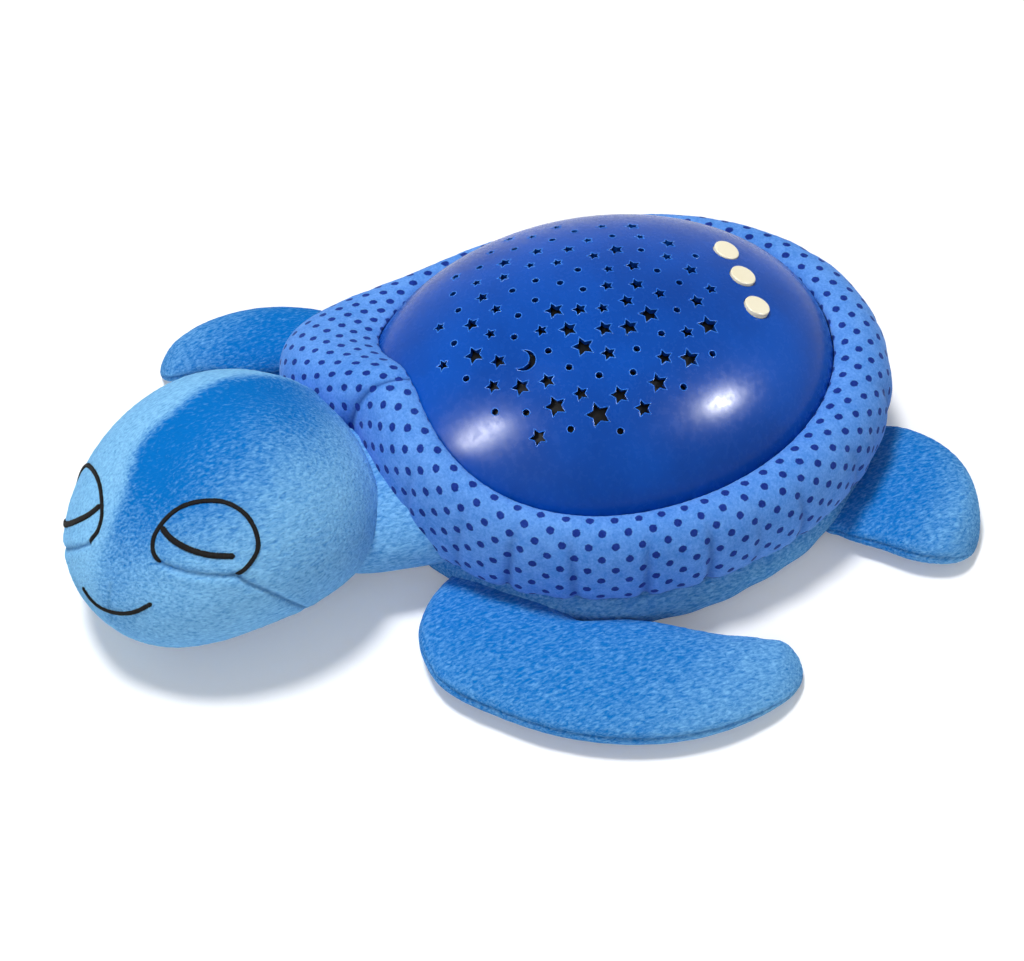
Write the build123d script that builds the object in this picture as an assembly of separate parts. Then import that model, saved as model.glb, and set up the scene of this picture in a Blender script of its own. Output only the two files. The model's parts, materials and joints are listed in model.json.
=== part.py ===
from build123d import *
import math
import os

# Plush sea turtle night light with a hard star projector dome on its back.
# Millimetres, +Z up. The origin is on the floor under the middle of the dome,
# the head points to -Y and the turtle's left side is +X.
os.makedirs("parts", exist_ok=True)

# Fits and cuts
OVERRUN = 1.0
SOFT_GAP = 0.3
SLIP = 0.2
SCREW_SLIP = 0.05

# Projector dome: half an ellipsoid on a short skirt with an inward ledge
DOME_LENGTH = 172.0
DOME_WIDTH = 136.0
DOME_RISE = 45.0
DOME_WALL = 2.4
DOME_SEAT = 40.0
SKIRT_DEPTH = 6.0
LEDGE_WIDTH = 8.0

# Star field: a round patch of holes set out on a sunflower spiral
FIELD_RADIUS = 50.0
FIELD_CENTRE_Y = -9.5
FIELD_COUNT = 96
STAR_RADIUS = 4.9
STAR_WAIST_SHARE = 0.5
STAR_POINTS = 5
DOT_RADIUS = 1.3
MOON_RADIUS = 4.1
MOON_BITE_SHARE = 0.85
MOON_SHIFT_SHARE = -0.45
MOON_TURN = 40.0
MOON_INDEX = 31
STAR_SIZE_SHARES = (0.78, 0.0, 1.0, 0.66, 0.0, 0.9, 0.72, 0.0, 0.84, 0.0, 0.7)
SMALL_SIDE_SHARE = 0.52

# Smoked liner behind the holes
LINER_GAP = 0.4
LINER_WALL = 1.0

# Base tray: a deck the shape of the dome with a cup below it
DECK_THICKNESS = 3.0
CUP_WIDTH = 116.0
CUP_LENGTH = 140.0
CUP_WALL = 2.4
FLOOR_THICKNESS = 3.4

# Screws: one pan head pattern in three lengths
SCREW_RADIUS = 1.25
SCREW_HEAD_RADIUS = 2.3
SCREW_HEAD_HEIGHT = 1.6
SCREW_SLOT_WIDTH = 0.7
SCREW_SLOT_DEPTH = 0.8
CASE_SCREW_LENGTH = 8.0
BOARD_SCREW_LENGTH = 6.0
DOOR_SCREW_LENGTH = 5.0
CASE_SCREW_ANGLES = (45.0, 135.0, 225.0, 315.0)

# Cells and battery bay
CELL_RADIUS = 5.25
CELL_LENGTH = 44.5
CELL_NUB_RADIUS = 1.9
CELL_NUB_LENGTH = 1.2
CELL_COUNT = 3
CELL_SPACING = 0.6
BAY_CENTRE_Y = 30.0
BAY_SIDE_GAP = 0.5
BAY_ROOF_GAP = 0.4
BAY_WALL = 1.8
CELL_DOOR_GAP = 0.5

# Battery contacts
CONTACT_THICKNESS = 0.5
CONTACT_WIDTH = 8.0
CONTACT_HEIGHT = 8.5
LEAF_SPRING_ROOM = 5.0
LEAF_TILT = 24.0
LEAF_LENGTH = 7.5
TAB_WIDTH = 3.0
TAB_RISE = 4.0

# Battery door
DOOR_THICKNESS = 2.0
DOOR_RECESS_GAP = 0.15
DOOR_LEDGE = 3.0
DOOR_HINGE_MARGIN = 4.0
DOOR_SCREW_MARGIN = 8.0
DOOR_SIDE_GAP = 0.4
HINGE_PIN_RADIUS = 0.6
HINGE_PIN_LENGTH = 2.0
HINGE_PIN_SLIP = 0.05
DOOR_BOSS_RADIUS = 3.6
DOOR_BOSS_RISE = 1.8
DOOR_SCREW_FLOAT = 0.5
DOOR_SCREW_WALL = 2.0

# Light board
LED_BOARD_WIDTH = 46.0
LED_BOARD_LENGTH = 28.0
BOARD_THICKNESS = 1.6
LED_BOARD_HEIGHT = 24.0
LED_BOARD_CENTRE_Y = -14.0
POST_RADIUS = 3.6
POST_SPREAD = 17.0
LED_RADIUS = 2.5
LED_BODY_HEIGHT = 5.0
LED_COLLAR_RADIUS = 2.9
LED_COLLAR_HEIGHT = 1.0
LED_PITCH = 7.5
CHIP_WIDTH = 8.0
CHIP_LENGTH = 6.0
CHIP_HEIGHT = 1.7
CHIP_OFFSET_Y = -9.0

# Push buttons on the rear of the dome
BUTTON_Y = 52.3
BUTTON_PITCH = 14.0
BUTTON_RADIUS = 4.65
BUTTON_PROUD = 1.1
BUTTON_EDGE = 0.5
BUTTON_FLANGE_RADIUS = 6.0
BUTTON_FLANGE_THICKNESS = 1.2
BUTTON_FLANGE_DROP = 1.5
BUTTON_STEM_RADIUS = 2.2
BUTTON_STEM_LENGTH = 2.6
BUTTON_TRAVEL = 1.0
BUTTON_STOP_GAP = 0.3
PLUNGER_RADIUS = 1.7
PLUNGER_SLIP = 0.05
PLUNGER_SEATED = 1.0
SWITCH_SIZE = 6.2
SWITCH_HEIGHT = 4.4
BUTTON_BOARD_WIDTH = 62.0
BUTTON_BOARD_LENGTH = 14.0
BUTTON_BOSS_SPREAD = 26.0
BUTTON_BOSS_RADIUS = 3.2
LINER_SLOT_WIDTH = 66.0
LINER_SLOT_LENGTH = 17.0

# Leads inside the housing
LEAD_RADIUS = 0.7
LEAD_BEND = 5.0
LEAD_RISE = 14.0
LEAD_LANDING_X = 13.0
LEAD_LANDING_Y = 9.0
RIBBON_WIDTH = 6.0
RIBBON_THICKNESS = 1.0
RIBBON_BEND = 6.0
RIBBON_DROP = 12.0
RIBBON_RISE = 14.0
RIBBON_OFFSET_Y = 9.0

# Plush body: a stuffed belly ring under a stuffed rim
SEAM_HEIGHT = 18.0
BELLY_WIDTH = 164.0
BELLY_FRONT = 81.0
BELLY_REAR = 102.0
BELLY_LIFT = 0.3
BELLY_ARCS = 16
BELLY_TUCK = 12.0
BELLY_SHARES = ((0.0, 1.0), (0.12, 0.42), (0.32, 0.1), (0.55, 0.0), (0.8, 0.06), (1.0, 0.28))
RIM_THICKNESS = 14.0
RIM_TUCK = 5.0
RIM_WIDEST_SHARE = 0.55
RIM_CORE_SHARE = 0.62
RIM_STATIONS = 16
RIM_CREST = 8.0
ROUND_SHARE = 0.72
# The front seam draws the rim in, lifts it and tucks it under
RIM_NOTCH = 10.5
RIM_NOTCH_SPREAD = 45.0
RIM_FRONT_TUCK = 6.0
RIM_FRONT_RISE = 19.0
RIM_LEFT_RISE_SPREAD = 42.0
RIM_RIGHT_RISE_SPREAD = 24.0
# The rim is fuller at the rear, most of all on the left
RIM_REAR = 7.0
RIM_REAR_TURN = 165.0
RIM_REAR_SPREAD = 50.0
RIM_RIGHT_REAR_SPREAD = 30.0
# On the right a lobe swells beside the front seam, and the side is thinner and lower
RIM_LOBE = 27.0
RIM_LOBE_TURN = 26.0
RIM_LOBE_SPREAD = 20.0
RIM_SIDE_TRIM = 5.0
RIM_SIDE_DIP = 4.0
RIM_SIDE_TURN = 92.0
RIM_SIDE_SPREAD = 45.0

# Head and neck
HEAD_LENGTH = 103.5
HEAD_WIDTH = 94.4
HEAD_HEIGHT = 77.5
HEAD_BACK_X = -1.4
HEAD_BACK_Y = -92.8
HEAD_TURN = 12.4
SOFT_ARCS = 8
# Rows of place along the head, half width, half height and lift of the middle
HEAD_SHARES = ((0.0, 0.52, 0.52, 0.415), (0.06, 0.7, 0.7, 0.436), (0.18, 0.89, 0.89, 0.47),
               (0.36, 1.0, 1.0, 0.507), (0.54, 0.99, 0.98, 0.505), (0.7, 0.905, 0.885, 0.466),
               (0.84, 0.735, 0.705, 0.417), (0.94, 0.5, 0.477, 0.398), (1.0, 0.19, 0.19, 0.404))
NECK_LENGTH = 34.0
NECK_WIDTH = 88.0
NECK_HEIGHT = 48.0
NECK_ROOT_Y = -66.0
NECK_LIFT = 25.0
NECK_SHARES = ((0.0, 1.0), (0.5, 0.98), (1.0, 0.93))

# Flippers: rows of leading point, trailing point and thickness, as shares of the
# length out from the root and to the side that the flipper is swept to
FLIPPER_ROOT_LIFT = 9.0
FLIPPER_LIFT = 0.4
FLIPPER_SEAM_GAP = 0.4
FRONT_FLIPPER_THICKNESS = 17.2
FRONT_FLIPPER_ROOT_SHARE = 0.14
FRONT_FLIPPER_SHARES = ((-0.137, -0.03, -0.137, 0.03, 0.35), (-0.075, -0.122, -0.11, 0.12, 0.55),
                        (0.045, -0.147, -0.13, 0.27, 0.76), (0.2, -0.05, -0.19, 0.4, 0.93),
                        (0.26, 0.2, -0.23, 0.51, 1.0), (0.24, 0.48, -0.25, 0.62, 1.0),
                        (0.14, 0.72, -0.27, 0.74, 0.88), (-0.05, 0.95, -0.32, 0.86, 0.6),
                        (-0.18, 1.01, -0.31, 0.97, 0.22))
LEFT_FLIPPER_LENGTH = 108.0
LEFT_FLIPPER_ANGLE = -46.0
LEFT_FLIPPER_HEADING = -41.0
RIGHT_FLIPPER_LENGTH = 73.0
RIGHT_FLIPPER_ANGLE = 229.0
RIGHT_FLIPPER_HEADING = 144.0
RIGHT_FLIPPER_ROOT_SHARE = 0.146
REAR_FLIPPER_LENGTH = 46.0
REAR_FLIPPER_THICKNESS = 17.0
LEFT_REAR_FLIPPER_ANGLE = 60.0
LEFT_REAR_FLIPPER_HEADING = 49.0
RIGHT_REAR_FLIPPER_ANGLE = 140.0
RIGHT_REAR_FLIPPER_HEADING = 151.5
REAR_FLIPPER_SHARES = ((0.0, -0.56, 0.0, 0.56, 0.34), (0.38, -0.555, 0.355, 0.585, 0.85),
                       (0.71, -0.375, 0.645, 0.59, 1.0), (0.917, -0.096, 0.9, 0.49, 0.74),
                       (0.995, 0.096, 0.99, 0.357, 0.24))
# The right rear flipper lies swept back along the body
SWEPT_FLIPPER_SHARES = ((0.0, -0.45, 0.0, 0.45, 0.34), (0.3, -0.36, 0.2, 0.66, 0.85),
                        (0.44, -0.1, 0.3, 0.92, 1.0), (0.47, 0.24, 0.32, 1.06, 0.74),
                        (0.43, 0.64, 0.39, 0.96, 0.24))

# Worked out from the sizes above
DOME_HALF_WIDTH = DOME_WIDTH / 2
DOME_HALF_LENGTH = DOME_LENGTH / 2
SKIRT_LOW = DOME_SEAT - SKIRT_DEPTH
DECK_LOW = SKIRT_LOW - DECK_THICKNESS
CUP_HALF_WIDTH = CUP_WIDTH / 2
CUP_HALF_LENGTH = CUP_LENGTH / 2
CELL_PITCH = 2 * CELL_RADIUS + CELL_SPACING
BAY_LENGTH = CELL_LENGTH + CONTACT_THICKNESS + LEAF_SPRING_ROOM
BAY_WIDTH = CELL_COUNT * CELL_PITCH - CELL_SPACING + 2 * BAY_SIDE_GAP
DOOR_LOW = DOOR_RECESS_GAP
DOOR_HIGH = DOOR_LOW + DOOR_THICKNESS
RECESS_HIGH = DOOR_HIGH + DOOR_RECESS_GAP
CELL_LOW = DOOR_HIGH + CELL_DOOR_GAP
CELL_AXIS_HEIGHT = CELL_LOW + CELL_RADIUS
BAY_HIGH = CELL_LOW + 2 * CELL_RADIUS + BAY_ROOF_GAP
BAY_ROOF = BAY_HIGH + BAY_WALL
BAY_FRONT = BAY_CENTRE_Y - BAY_WIDTH / 2
BAY_REAR = BAY_CENTRE_Y + BAY_WIDTH / 2
HINGE_RADIUS = DOOR_THICKNESS / 2
HINGE_Y = BAY_FRONT - DOOR_HINGE_MARGIN
HINGE_HEIGHT = DOOR_LOW + HINGE_RADIUS
DOOR_HALF_WIDTH = BAY_LENGTH / 2 + DOOR_LEDGE
DOOR_REAR = BAY_REAR + DOOR_SCREW_MARGIN
DOOR_SCREW_Y = BAY_REAR + DOOR_SCREW_MARGIN / 2
DOOR_BOSS_HIGH = DOOR_HIGH + DOOR_BOSS_RISE
DOOR_SCREW_SEAT = DOOR_HIGH
LED_BOARD_TOP = LED_BOARD_HEIGHT + BOARD_THICKNESS
GOLDEN_TURN = math.pi * (3 - math.sqrt(5))
LOW_END = (Align.CENTER, Align.CENTER, Align.MIN)
HIGH_END = (Align.CENTER, Align.CENTER, Align.MAX)


def dome_height(x, y):
    """Height of the dome's surface above its seat, over a point of its plan."""
    across = x / DOME_HALF_WIDTH
    along = y / DOME_HALF_LENGTH
    return DOME_RISE * math.sqrt(1 - across ** 2 - along ** 2)


def dome_normal(x, y):
    """Outward direction of the dome's surface over a point of its plan."""
    slope = Vector(x / DOME_HALF_WIDTH ** 2, y / DOME_HALF_LENGTH ** 2, dome_height(x, y) / DOME_RISE ** 2)
    return slope.normalized()


def dome_point(x, y):
    """Point of the dome's surface over a point of its plan."""
    return Vector(x, y, DOME_SEAT + dome_height(x, y))


def wall_distance(turn):
    """Distance of the dome's wall from its middle in a direction given in degrees."""
    across = math.cos(math.radians(turn)) / DOME_HALF_WIDTH
    along = math.sin(math.radians(turn)) / DOME_HALF_LENGTH
    return 1 / math.hypot(across, along)


def ellipse_block(half_width, half_length, low, high):
    """Upright block with an elliptical outline between two heights."""
    return extrude(Plane.XY.offset(low) * Ellipse(half_width, half_length), high - low)


def half_ellipsoid(shrink):
    """The dome as a full solid on its seat, drawn in by a distance."""
    size = (DOME_HALF_WIDTH - shrink, DOME_HALF_LENGTH - shrink, DOME_RISE - shrink)
    half_disc = make_face([CenterArc((0, 0), 1, 90, 180), Line((0, -1), (0, 1))])
    half_ball = revolve(half_disc, axis=Axis.Y, revolution_arc=180)
    return Pos(0, 0, DOME_SEAT) * scale(half_ball, by=size)


def block(low_corner, high_corner):
    """Box between two corners."""
    size = [high - low for low, high in zip(low_corner, high_corner)]
    return Pos(*low_corner) * Box(*size, align=(Align.MIN, Align.MIN, Align.MIN))


def disc(x, y, low, high, radius):
    """Upright cylinder between two heights."""
    return Pos(x, y, low) * Cylinder(radius, high - low, align=LOW_END)


def screw(length):
    """Pan head screw with its seat at the origin, pointing up, with a cross recess below."""
    head = Cylinder(SCREW_HEAD_RADIUS, SCREW_HEAD_HEIGHT, align=HIGH_END)
    head = fillet(head.edges().group_by(Axis.Z)[0], SCREW_HEAD_HEIGHT / 2)
    recess = Pos(0, 0, -SCREW_HEAD_HEIGHT) * Box(SCREW_HEAD_RADIUS, SCREW_SLOT_WIDTH, 2 * SCREW_SLOT_DEPTH)
    return head + Cylinder(SCREW_RADIUS, length, align=LOW_END) - recess - Rot(0, 0, 90) * recess


def arc_outline(points):
    """Closed outline of arcs, each through three of an even number of points."""
    arcs = []
    for index in range(0, len(points), 2):
        ends = (points[index], points[index + 1], points[(index + 2) % len(points)])
        arcs.append(ThreePointArc(*ends))
    return Wire(arcs)


def oval(centre, across, upward):
    """Closed oval of arcs round a centre, from its half axes as vectors."""
    points = []
    for index in range(2 * SOFT_ARCS):
        turn = math.pi * index / SOFT_ARCS
        points.append(centre + across * math.cos(turn) + upward * math.sin(turn))
    return arc_outline(points)


def soft_loft(outlines):
    """Stuffed form through a row of closed outlines."""
    return Part() + Solid.make_loft(outlines)


def largest(shape):
    """The largest solid of a shape that a cut may have left in pieces."""
    return Part() + max(shape.solids(), key=lambda solid: solid.volume)


# Push buttons: all three share the direction of the dome's surface at the middle one
BUTTON_AXIS = dome_normal(0, BUTTON_Y)
BUTTON_PLANE = Plane(origin=dome_point(0, BUTTON_Y), x_dir=(1, 0, 0), z_dir=BUTTON_AXIS)
BUTTON_PLACES = {"left": BUTTON_PITCH, "middle": 0.0, "right": -BUTTON_PITCH}


def surface_depth(x):
    """Place along the button axis, from the middle button, where the dome's surface lies at x."""
    start = BUTTON_PLANE.origin + Vector(x, 0, -DOME_SEAT)
    half_axes = (DOME_HALF_WIDTH, DOME_HALF_LENGTH, DOME_RISE)
    square = sum((way / axis) ** 2 for way, axis in zip(BUTTON_AXIS, half_axes))
    middle = sum(place * way / axis ** 2 for place, way, axis in zip(start, BUTTON_AXIS, half_axes))
    rest = sum((place / axis) ** 2 for place, axis in zip(start, half_axes)) - 1
    return (math.sqrt(middle ** 2 - square * rest) - middle) / square


FLANGE_UNDER = DOME_WALL + BUTTON_FLANGE_DROP + BUTTON_FLANGE_THICKNESS
STEM_LOW = -FLANGE_UNDER - BUTTON_STEM_LENGTH
SWITCH_TOP = STEM_LOW - BUTTON_TRAVEL - BUTTON_STOP_GAP
BUTTON_BOARD_TOP = SWITCH_TOP - SWITCH_HEIGHT
BUTTON_BOARD_LOW = BUTTON_BOARD_TOP - BOARD_THICKNESS


def along_button(x, low, high, radius):
    """Cylinder on the button axis at x, between two places along that axis."""
    return BUTTON_PLANE * Pos(x, 0, low) * Cylinder(radius, high - low, align=LOW_END)


def hole_places():
    """Sunflower spiral of holes: plan place, kind and size of each, growing from right to left."""
    places = []
    for index in range(FIELD_COUNT):
        reach = math.sqrt((index + 0.5) / FIELD_COUNT)
        turn = index * GOLDEN_TURN
        x = FIELD_RADIUS * reach * math.cos(turn)
        y = FIELD_CENTRE_Y + FIELD_RADIUS * reach * math.sin(turn)
        share = STAR_SIZE_SHARES[index % len(STAR_SIZE_SHARES)]
        growth = SMALL_SIDE_SHARE + (1 - SMALL_SIDE_SHARE) * (FIELD_RADIUS + x) / (2 * FIELD_RADIUS)
        if index == MOON_INDEX:
            places.append((x, y, "moon", MOON_RADIUS))
        elif share:
            places.append((x, y, "star", STAR_RADIUS * share * growth))
        else:
            places.append((x, y, "dot", DOT_RADIUS))
    return places


def star_face(radius):
    """Five-pointed star with one tip on the local Y axis."""
    points = []
    for index in range(2 * STAR_POINTS):
        reach = radius if index % 2 == 0 else radius * STAR_WAIST_SHARE
        turn = math.pi / 2 + math.pi * index / STAR_POINTS
        points.append((reach * math.cos(turn), reach * math.sin(turn)))
    return make_face(Polyline(*points, close=True))


def hole_tool(x, y, kind, radius):
    """Cutter for one hole, square to the dome, with the star's tip towards the right side."""
    outward = dome_normal(x, y)
    tip = Vector(-1, 0, 0)
    place = Plane(origin=dome_point(x, y), x_dir=tip.cross(outward), z_dir=outward)
    if kind == "dot":
        face = Circle(radius)
    elif kind == "moon":
        shift = radius * MOON_SHIFT_SHARE
        turn = math.radians(MOON_TURN)
        bite = Pos(shift * math.cos(turn), -shift * math.sin(turn)) * Circle(radius * MOON_BITE_SHARE)
        face = Circle(radius) - bite
    else:
        face = star_face(radius)
    depth = DOME_WALL + OVERRUN
    return place * Pos(0, 0, -depth) * extrude(face, depth + OVERRUN)


def case_screw_places():
    """Places of the case screws, on the middle line of the dome's ledge."""
    places = []
    for turn in CASE_SCREW_ANGLES:
        x = (DOME_HALF_WIDTH - LEDGE_WIDTH / 2) * math.cos(math.radians(turn))
        y = (DOME_HALF_LENGTH - LEDGE_WIDTH / 2) * math.sin(math.radians(turn))
        places.append((x, y))
    return places


def make_dome_shell():
    """Moulded dome with its star field, button holes, board bosses and screw ledge."""
    shell = half_ellipsoid(0)
    shell += ellipse_block(DOME_HALF_WIDTH, DOME_HALF_LENGTH, SKIRT_LOW, DOME_SEAT)
    ledge = (DOME_HALF_WIDTH - LEDGE_WIDTH, DOME_HALF_LENGTH - LEDGE_WIDTH)
    shell -= half_ellipsoid(DOME_WALL)
    shell -= ellipse_block(*ledge, SKIRT_LOW - OVERRUN, DOME_SEAT + OVERRUN)
    for side in (-1, 1):
        x = side * BUTTON_BOSS_SPREAD
        boss = along_button(x, BUTTON_BOARD_TOP, 0, BUTTON_BOSS_RADIUS) & half_ellipsoid(DOME_WALL / 2)
        shell += boss
        pilot_high = BUTTON_BOARD_TOP + BOARD_SCREW_LENGTH
        shell -= along_button(x, BUTTON_BOARD_TOP - OVERRUN, pilot_high, SCREW_RADIUS + SCREW_SLIP)
    tools = [hole_tool(*place) for place in hole_places()]
    for x in BUTTON_PLACES.values():
        depth = surface_depth(x)
        low = depth - DOME_WALL - BUTTON_FLANGE_DROP
        tools.append(along_button(x, low, depth + BUTTON_PROUD + OVERRUN, BUTTON_RADIUS + SLIP))
    for x, y in case_screw_places():
        high = DECK_LOW + CASE_SCREW_LENGTH + SLIP
        tools.append(disc(x, y, SKIRT_LOW - OVERRUN, high, SCREW_RADIUS + SCREW_SLIP))
    return shell.cut(*tools)


def make_dome_liner():
    """Smoked inner shell, open where the buttons and their board reach through."""
    liner = half_ellipsoid(DOME_WALL + LINER_GAP) - half_ellipsoid(DOME_WALL + LINER_GAP + LINER_WALL)
    slot = Box(LINER_SLOT_WIDTH, LINER_SLOT_LENGTH, DOME_RISE)
    return liner - BUTTON_PLANE * slot


def make_base_tray():
    """Deck and cup in one moulding, with the battery bay, board posts and door seat."""
    tray = ellipse_block(DOME_HALF_WIDTH, DOME_HALF_LENGTH, DECK_LOW, SKIRT_LOW)
    tray += ellipse_block(CUP_HALF_WIDTH, CUP_HALF_LENGTH, 0, SKIRT_LOW)
    inside = (CUP_HALF_WIDTH - CUP_WALL, CUP_HALF_LENGTH - CUP_WALL)
    tray -= ellipse_block(*inside, FLOOR_THICKNESS, SKIRT_LOW + OVERRUN)
    outer = BAY_LENGTH / 2 + BAY_WALL
    tray += block((-outer, BAY_FRONT - BAY_WALL, 0), (outer, BAY_REAR + BAY_WALL, BAY_ROOF))
    bore_high = DOOR_SCREW_SEAT + DOOR_SCREW_LENGTH + DOOR_SIDE_GAP
    boss_radius = DOOR_BOSS_RADIUS + DOOR_SIDE_GAP + DOOR_SCREW_WALL
    tray += disc(0, DOOR_SCREW_Y, 0, bore_high + DOOR_SCREW_WALL, boss_radius)
    for side in (-1, 1):
        tray += disc(side * POST_SPREAD, LED_BOARD_CENTRE_Y, 0, LED_BOARD_HEIGHT, POST_RADIUS)
        pilot_low = LED_BOARD_TOP - BOARD_SCREW_LENGTH - SLIP
        pilot = (pilot_low, LED_BOARD_HEIGHT + OVERRUN, SCREW_RADIUS + SCREW_SLIP)
        tray -= disc(side * POST_SPREAD, LED_BOARD_CENTRE_Y, *pilot)
    half = BAY_LENGTH / 2
    tray -= block((-half, BAY_FRONT, -OVERRUN), (half, BAY_REAR, BAY_HIGH))
    recess = DOOR_HALF_WIDTH + DOOR_SIDE_GAP
    recess_front = HINGE_Y - HINGE_RADIUS - DOOR_SIDE_GAP
    tray -= block((-recess, recess_front, -OVERRUN), (recess, DOOR_REAR + DOOR_SIDE_GAP, RECESS_HIGH))
    pocket_radius = DOOR_BOSS_RADIUS + DOOR_SIDE_GAP
    tray -= disc(0, DOOR_SCREW_Y, 0, DOOR_BOSS_HIGH + DOOR_SIDE_GAP, pocket_radius)
    tray -= disc(0, DOOR_SCREW_Y, 0, bore_high, SCREW_RADIUS + DOOR_SCREW_FLOAT)
    pin_reach = DOOR_HALF_WIDTH + HINGE_PIN_LENGTH + SLIP
    tray -= hinge_bar(-pin_reach, pin_reach, HINGE_PIN_RADIUS + HINGE_PIN_SLIP)
    for y, sign in terminal_places():
        x = sign * (BAY_LENGTH / 2 - CONTACT_THICKNESS / 2)
        tray -= Pos(x, y, BAY_HIGH) * Box(CONTACT_THICKNESS + SLIP, TAB_WIDTH + 2 * SLIP, 4 * BAY_WALL)
    for x, y in case_screw_places():
        tray -= disc(x, y, DECK_LOW - OVERRUN, SKIRT_LOW + OVERRUN, SCREW_RADIUS + SCREW_SLIP)
    return tray


def hinge_bar(low_x, high_x, radius):
    """Cylinder on the battery door's hinge line."""
    bar = Cylinder(radius, high_x - low_x, align=LOW_END)
    return Pos(low_x, HINGE_Y, HINGE_HEIGHT) * Rot(0, 90, 0) * bar


def make_battery_door():
    """Door plate with a rounded hinge edge, two pins and a boss for its screw."""
    door = block((-DOOR_HALF_WIDTH, HINGE_Y, DOOR_LOW), (DOOR_HALF_WIDTH, DOOR_REAR, DOOR_HIGH))
    door += hinge_bar(-DOOR_HALF_WIDTH, DOOR_HALF_WIDTH, HINGE_RADIUS)
    pin_reach = DOOR_HALF_WIDTH + HINGE_PIN_LENGTH
    door += hinge_bar(-pin_reach, pin_reach, HINGE_PIN_RADIUS)
    door += disc(0, DOOR_SCREW_Y, DOOR_LOW, DOOR_BOSS_HIGH, DOOR_BOSS_RADIUS)
    door -= disc(0, DOOR_SCREW_Y, DOOR_LOW - OVERRUN, DOOR_SCREW_SEAT, SCREW_HEAD_RADIUS + SLIP)
    return door - disc(0, DOOR_SCREW_Y, DOOR_LOW, DOOR_BOSS_HIGH + OVERRUN, SCREW_RADIUS + SCREW_SLIP)


def cell_places():
    """Place across the bay and pole direction of each cell, turned about in turn."""
    first = BAY_CENTRE_Y - CELL_PITCH * (CELL_COUNT - 1) / 2
    return [(first + CELL_PITCH * index, 1 if index % 2 == 0 else -1) for index in range(CELL_COUNT)]


def terminal_places():
    """Place and side of the two contacts that carry the leads: first plus, last minus."""
    cells = cell_places()
    return [cells[0], (cells[-1][0], -cells[-1][1])]


def make_cell(y, sign):
    """One AAA cell lying along X with its nub at the plus end."""
    flat = sign * (BAY_LENGTH / 2 - CONTACT_THICKNESS - CELL_NUB_LENGTH)
    body_length = CELL_LENGTH - CELL_NUB_LENGTH
    body = Rot(0, -90 * sign, 0) * Cylinder(CELL_RADIUS, body_length, align=LOW_END)
    nub = Rot(0, 90 * sign, 0) * Cylinder(CELL_NUB_RADIUS, CELL_NUB_LENGTH, align=LOW_END)
    return Pos(flat, y, CELL_AXIS_HEIGHT) * (body + nub)


def contact_plate(y, sign):
    """Flat contact on the bay's end wall, with a solder tab through the roof on a lead's contact."""
    x = sign * (BAY_LENGTH / 2 - CONTACT_THICKNESS / 2)
    plate = Pos(x, y, CELL_AXIS_HEIGHT) * Box(CONTACT_THICKNESS, CONTACT_WIDTH, CONTACT_HEIGHT)
    if (y, sign) in terminal_places():
        tab_height = BAY_ROOF + TAB_RISE - CELL_AXIS_HEIGHT
        plate += Pos(x, y, CELL_AXIS_HEIGHT) * Box(CONTACT_THICKNESS, TAB_WIDTH, tab_height, align=LOW_END)
    return plate


def contact_leaf(y, sign):
    """Contact plate with a sprung leaf that leans out towards the cell's minus end."""
    leaf = Box(CONTACT_THICKNESS, CONTACT_WIDTH * ROUND_SHARE, LEAF_LENGTH, align=LOW_END)
    x = sign * (BAY_LENGTH / 2 - CONTACT_THICKNESS / 2)
    foot = CELL_AXIS_HEIGHT - CONTACT_HEIGHT / 2
    return contact_plate(y, sign) + Pos(x, y, foot) * Rot(0, -sign * LEAF_TILT, 0) * leaf


def make_led(x):
    """Round lamp with its collar on the light board."""
    lamp = Cylinder(LED_RADIUS, LED_BODY_HEIGHT, align=LOW_END)
    lamp += Pos(0, 0, LED_BODY_HEIGHT) * Sphere(LED_RADIUS)
    lamp += Cylinder(LED_COLLAR_RADIUS, LED_COLLAR_HEIGHT, align=LOW_END)
    return Pos(x, LED_BOARD_CENTRE_Y, LED_BOARD_TOP) * lamp


def make_led_board():
    """Light board on its two posts."""
    low = (-LED_BOARD_WIDTH / 2, LED_BOARD_CENTRE_Y - LED_BOARD_LENGTH / 2, LED_BOARD_HEIGHT)
    high = (LED_BOARD_WIDTH / 2, LED_BOARD_CENTRE_Y + LED_BOARD_LENGTH / 2, LED_BOARD_TOP)
    board = block(low, high)
    for side in (-1, 1):
        hole = (LED_BOARD_HEIGHT - OVERRUN, LED_BOARD_TOP + OVERRUN, SCREW_RADIUS + SCREW_SLIP)
        board -= disc(side * POST_SPREAD, LED_BOARD_CENTRE_Y, *hole)
    return board


def make_button_board():
    """Switch board under the dome's bosses."""
    middle = (BUTTON_BOARD_TOP + BUTTON_BOARD_LOW) / 2
    board = BUTTON_PLANE * Pos(0, 0, middle) * Box(BUTTON_BOARD_WIDTH, BUTTON_BOARD_LENGTH, BOARD_THICKNESS)
    for side in (-1, 1):
        hole = (BUTTON_BOARD_LOW - OVERRUN, BUTTON_BOARD_TOP + OVERRUN, SCREW_RADIUS + SCREW_SLIP)
        board -= along_button(side * BUTTON_BOSS_SPREAD, *hole)
    return board


def make_button(x):
    """Button cap with a rounded edge, a flange under the dome and a stem."""
    depth = surface_depth(x)
    flange_low = depth - FLANGE_UNDER
    cap = along_button(x, flange_low, depth + BUTTON_PROUD, BUTTON_RADIUS)
    rim = cap.edges().filter_by(GeomType.CIRCLE).sort_by(Axis(BUTTON_PLANE.origin, BUTTON_AXIS))[-1]
    cap = fillet(rim, BUTTON_EDGE)
    cap += along_button(x, flange_low, flange_low + BUTTON_FLANGE_THICKNESS, BUTTON_FLANGE_RADIUS)
    return cap + along_button(x, STEM_LOW, flange_low, BUTTON_STEM_RADIUS)


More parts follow.
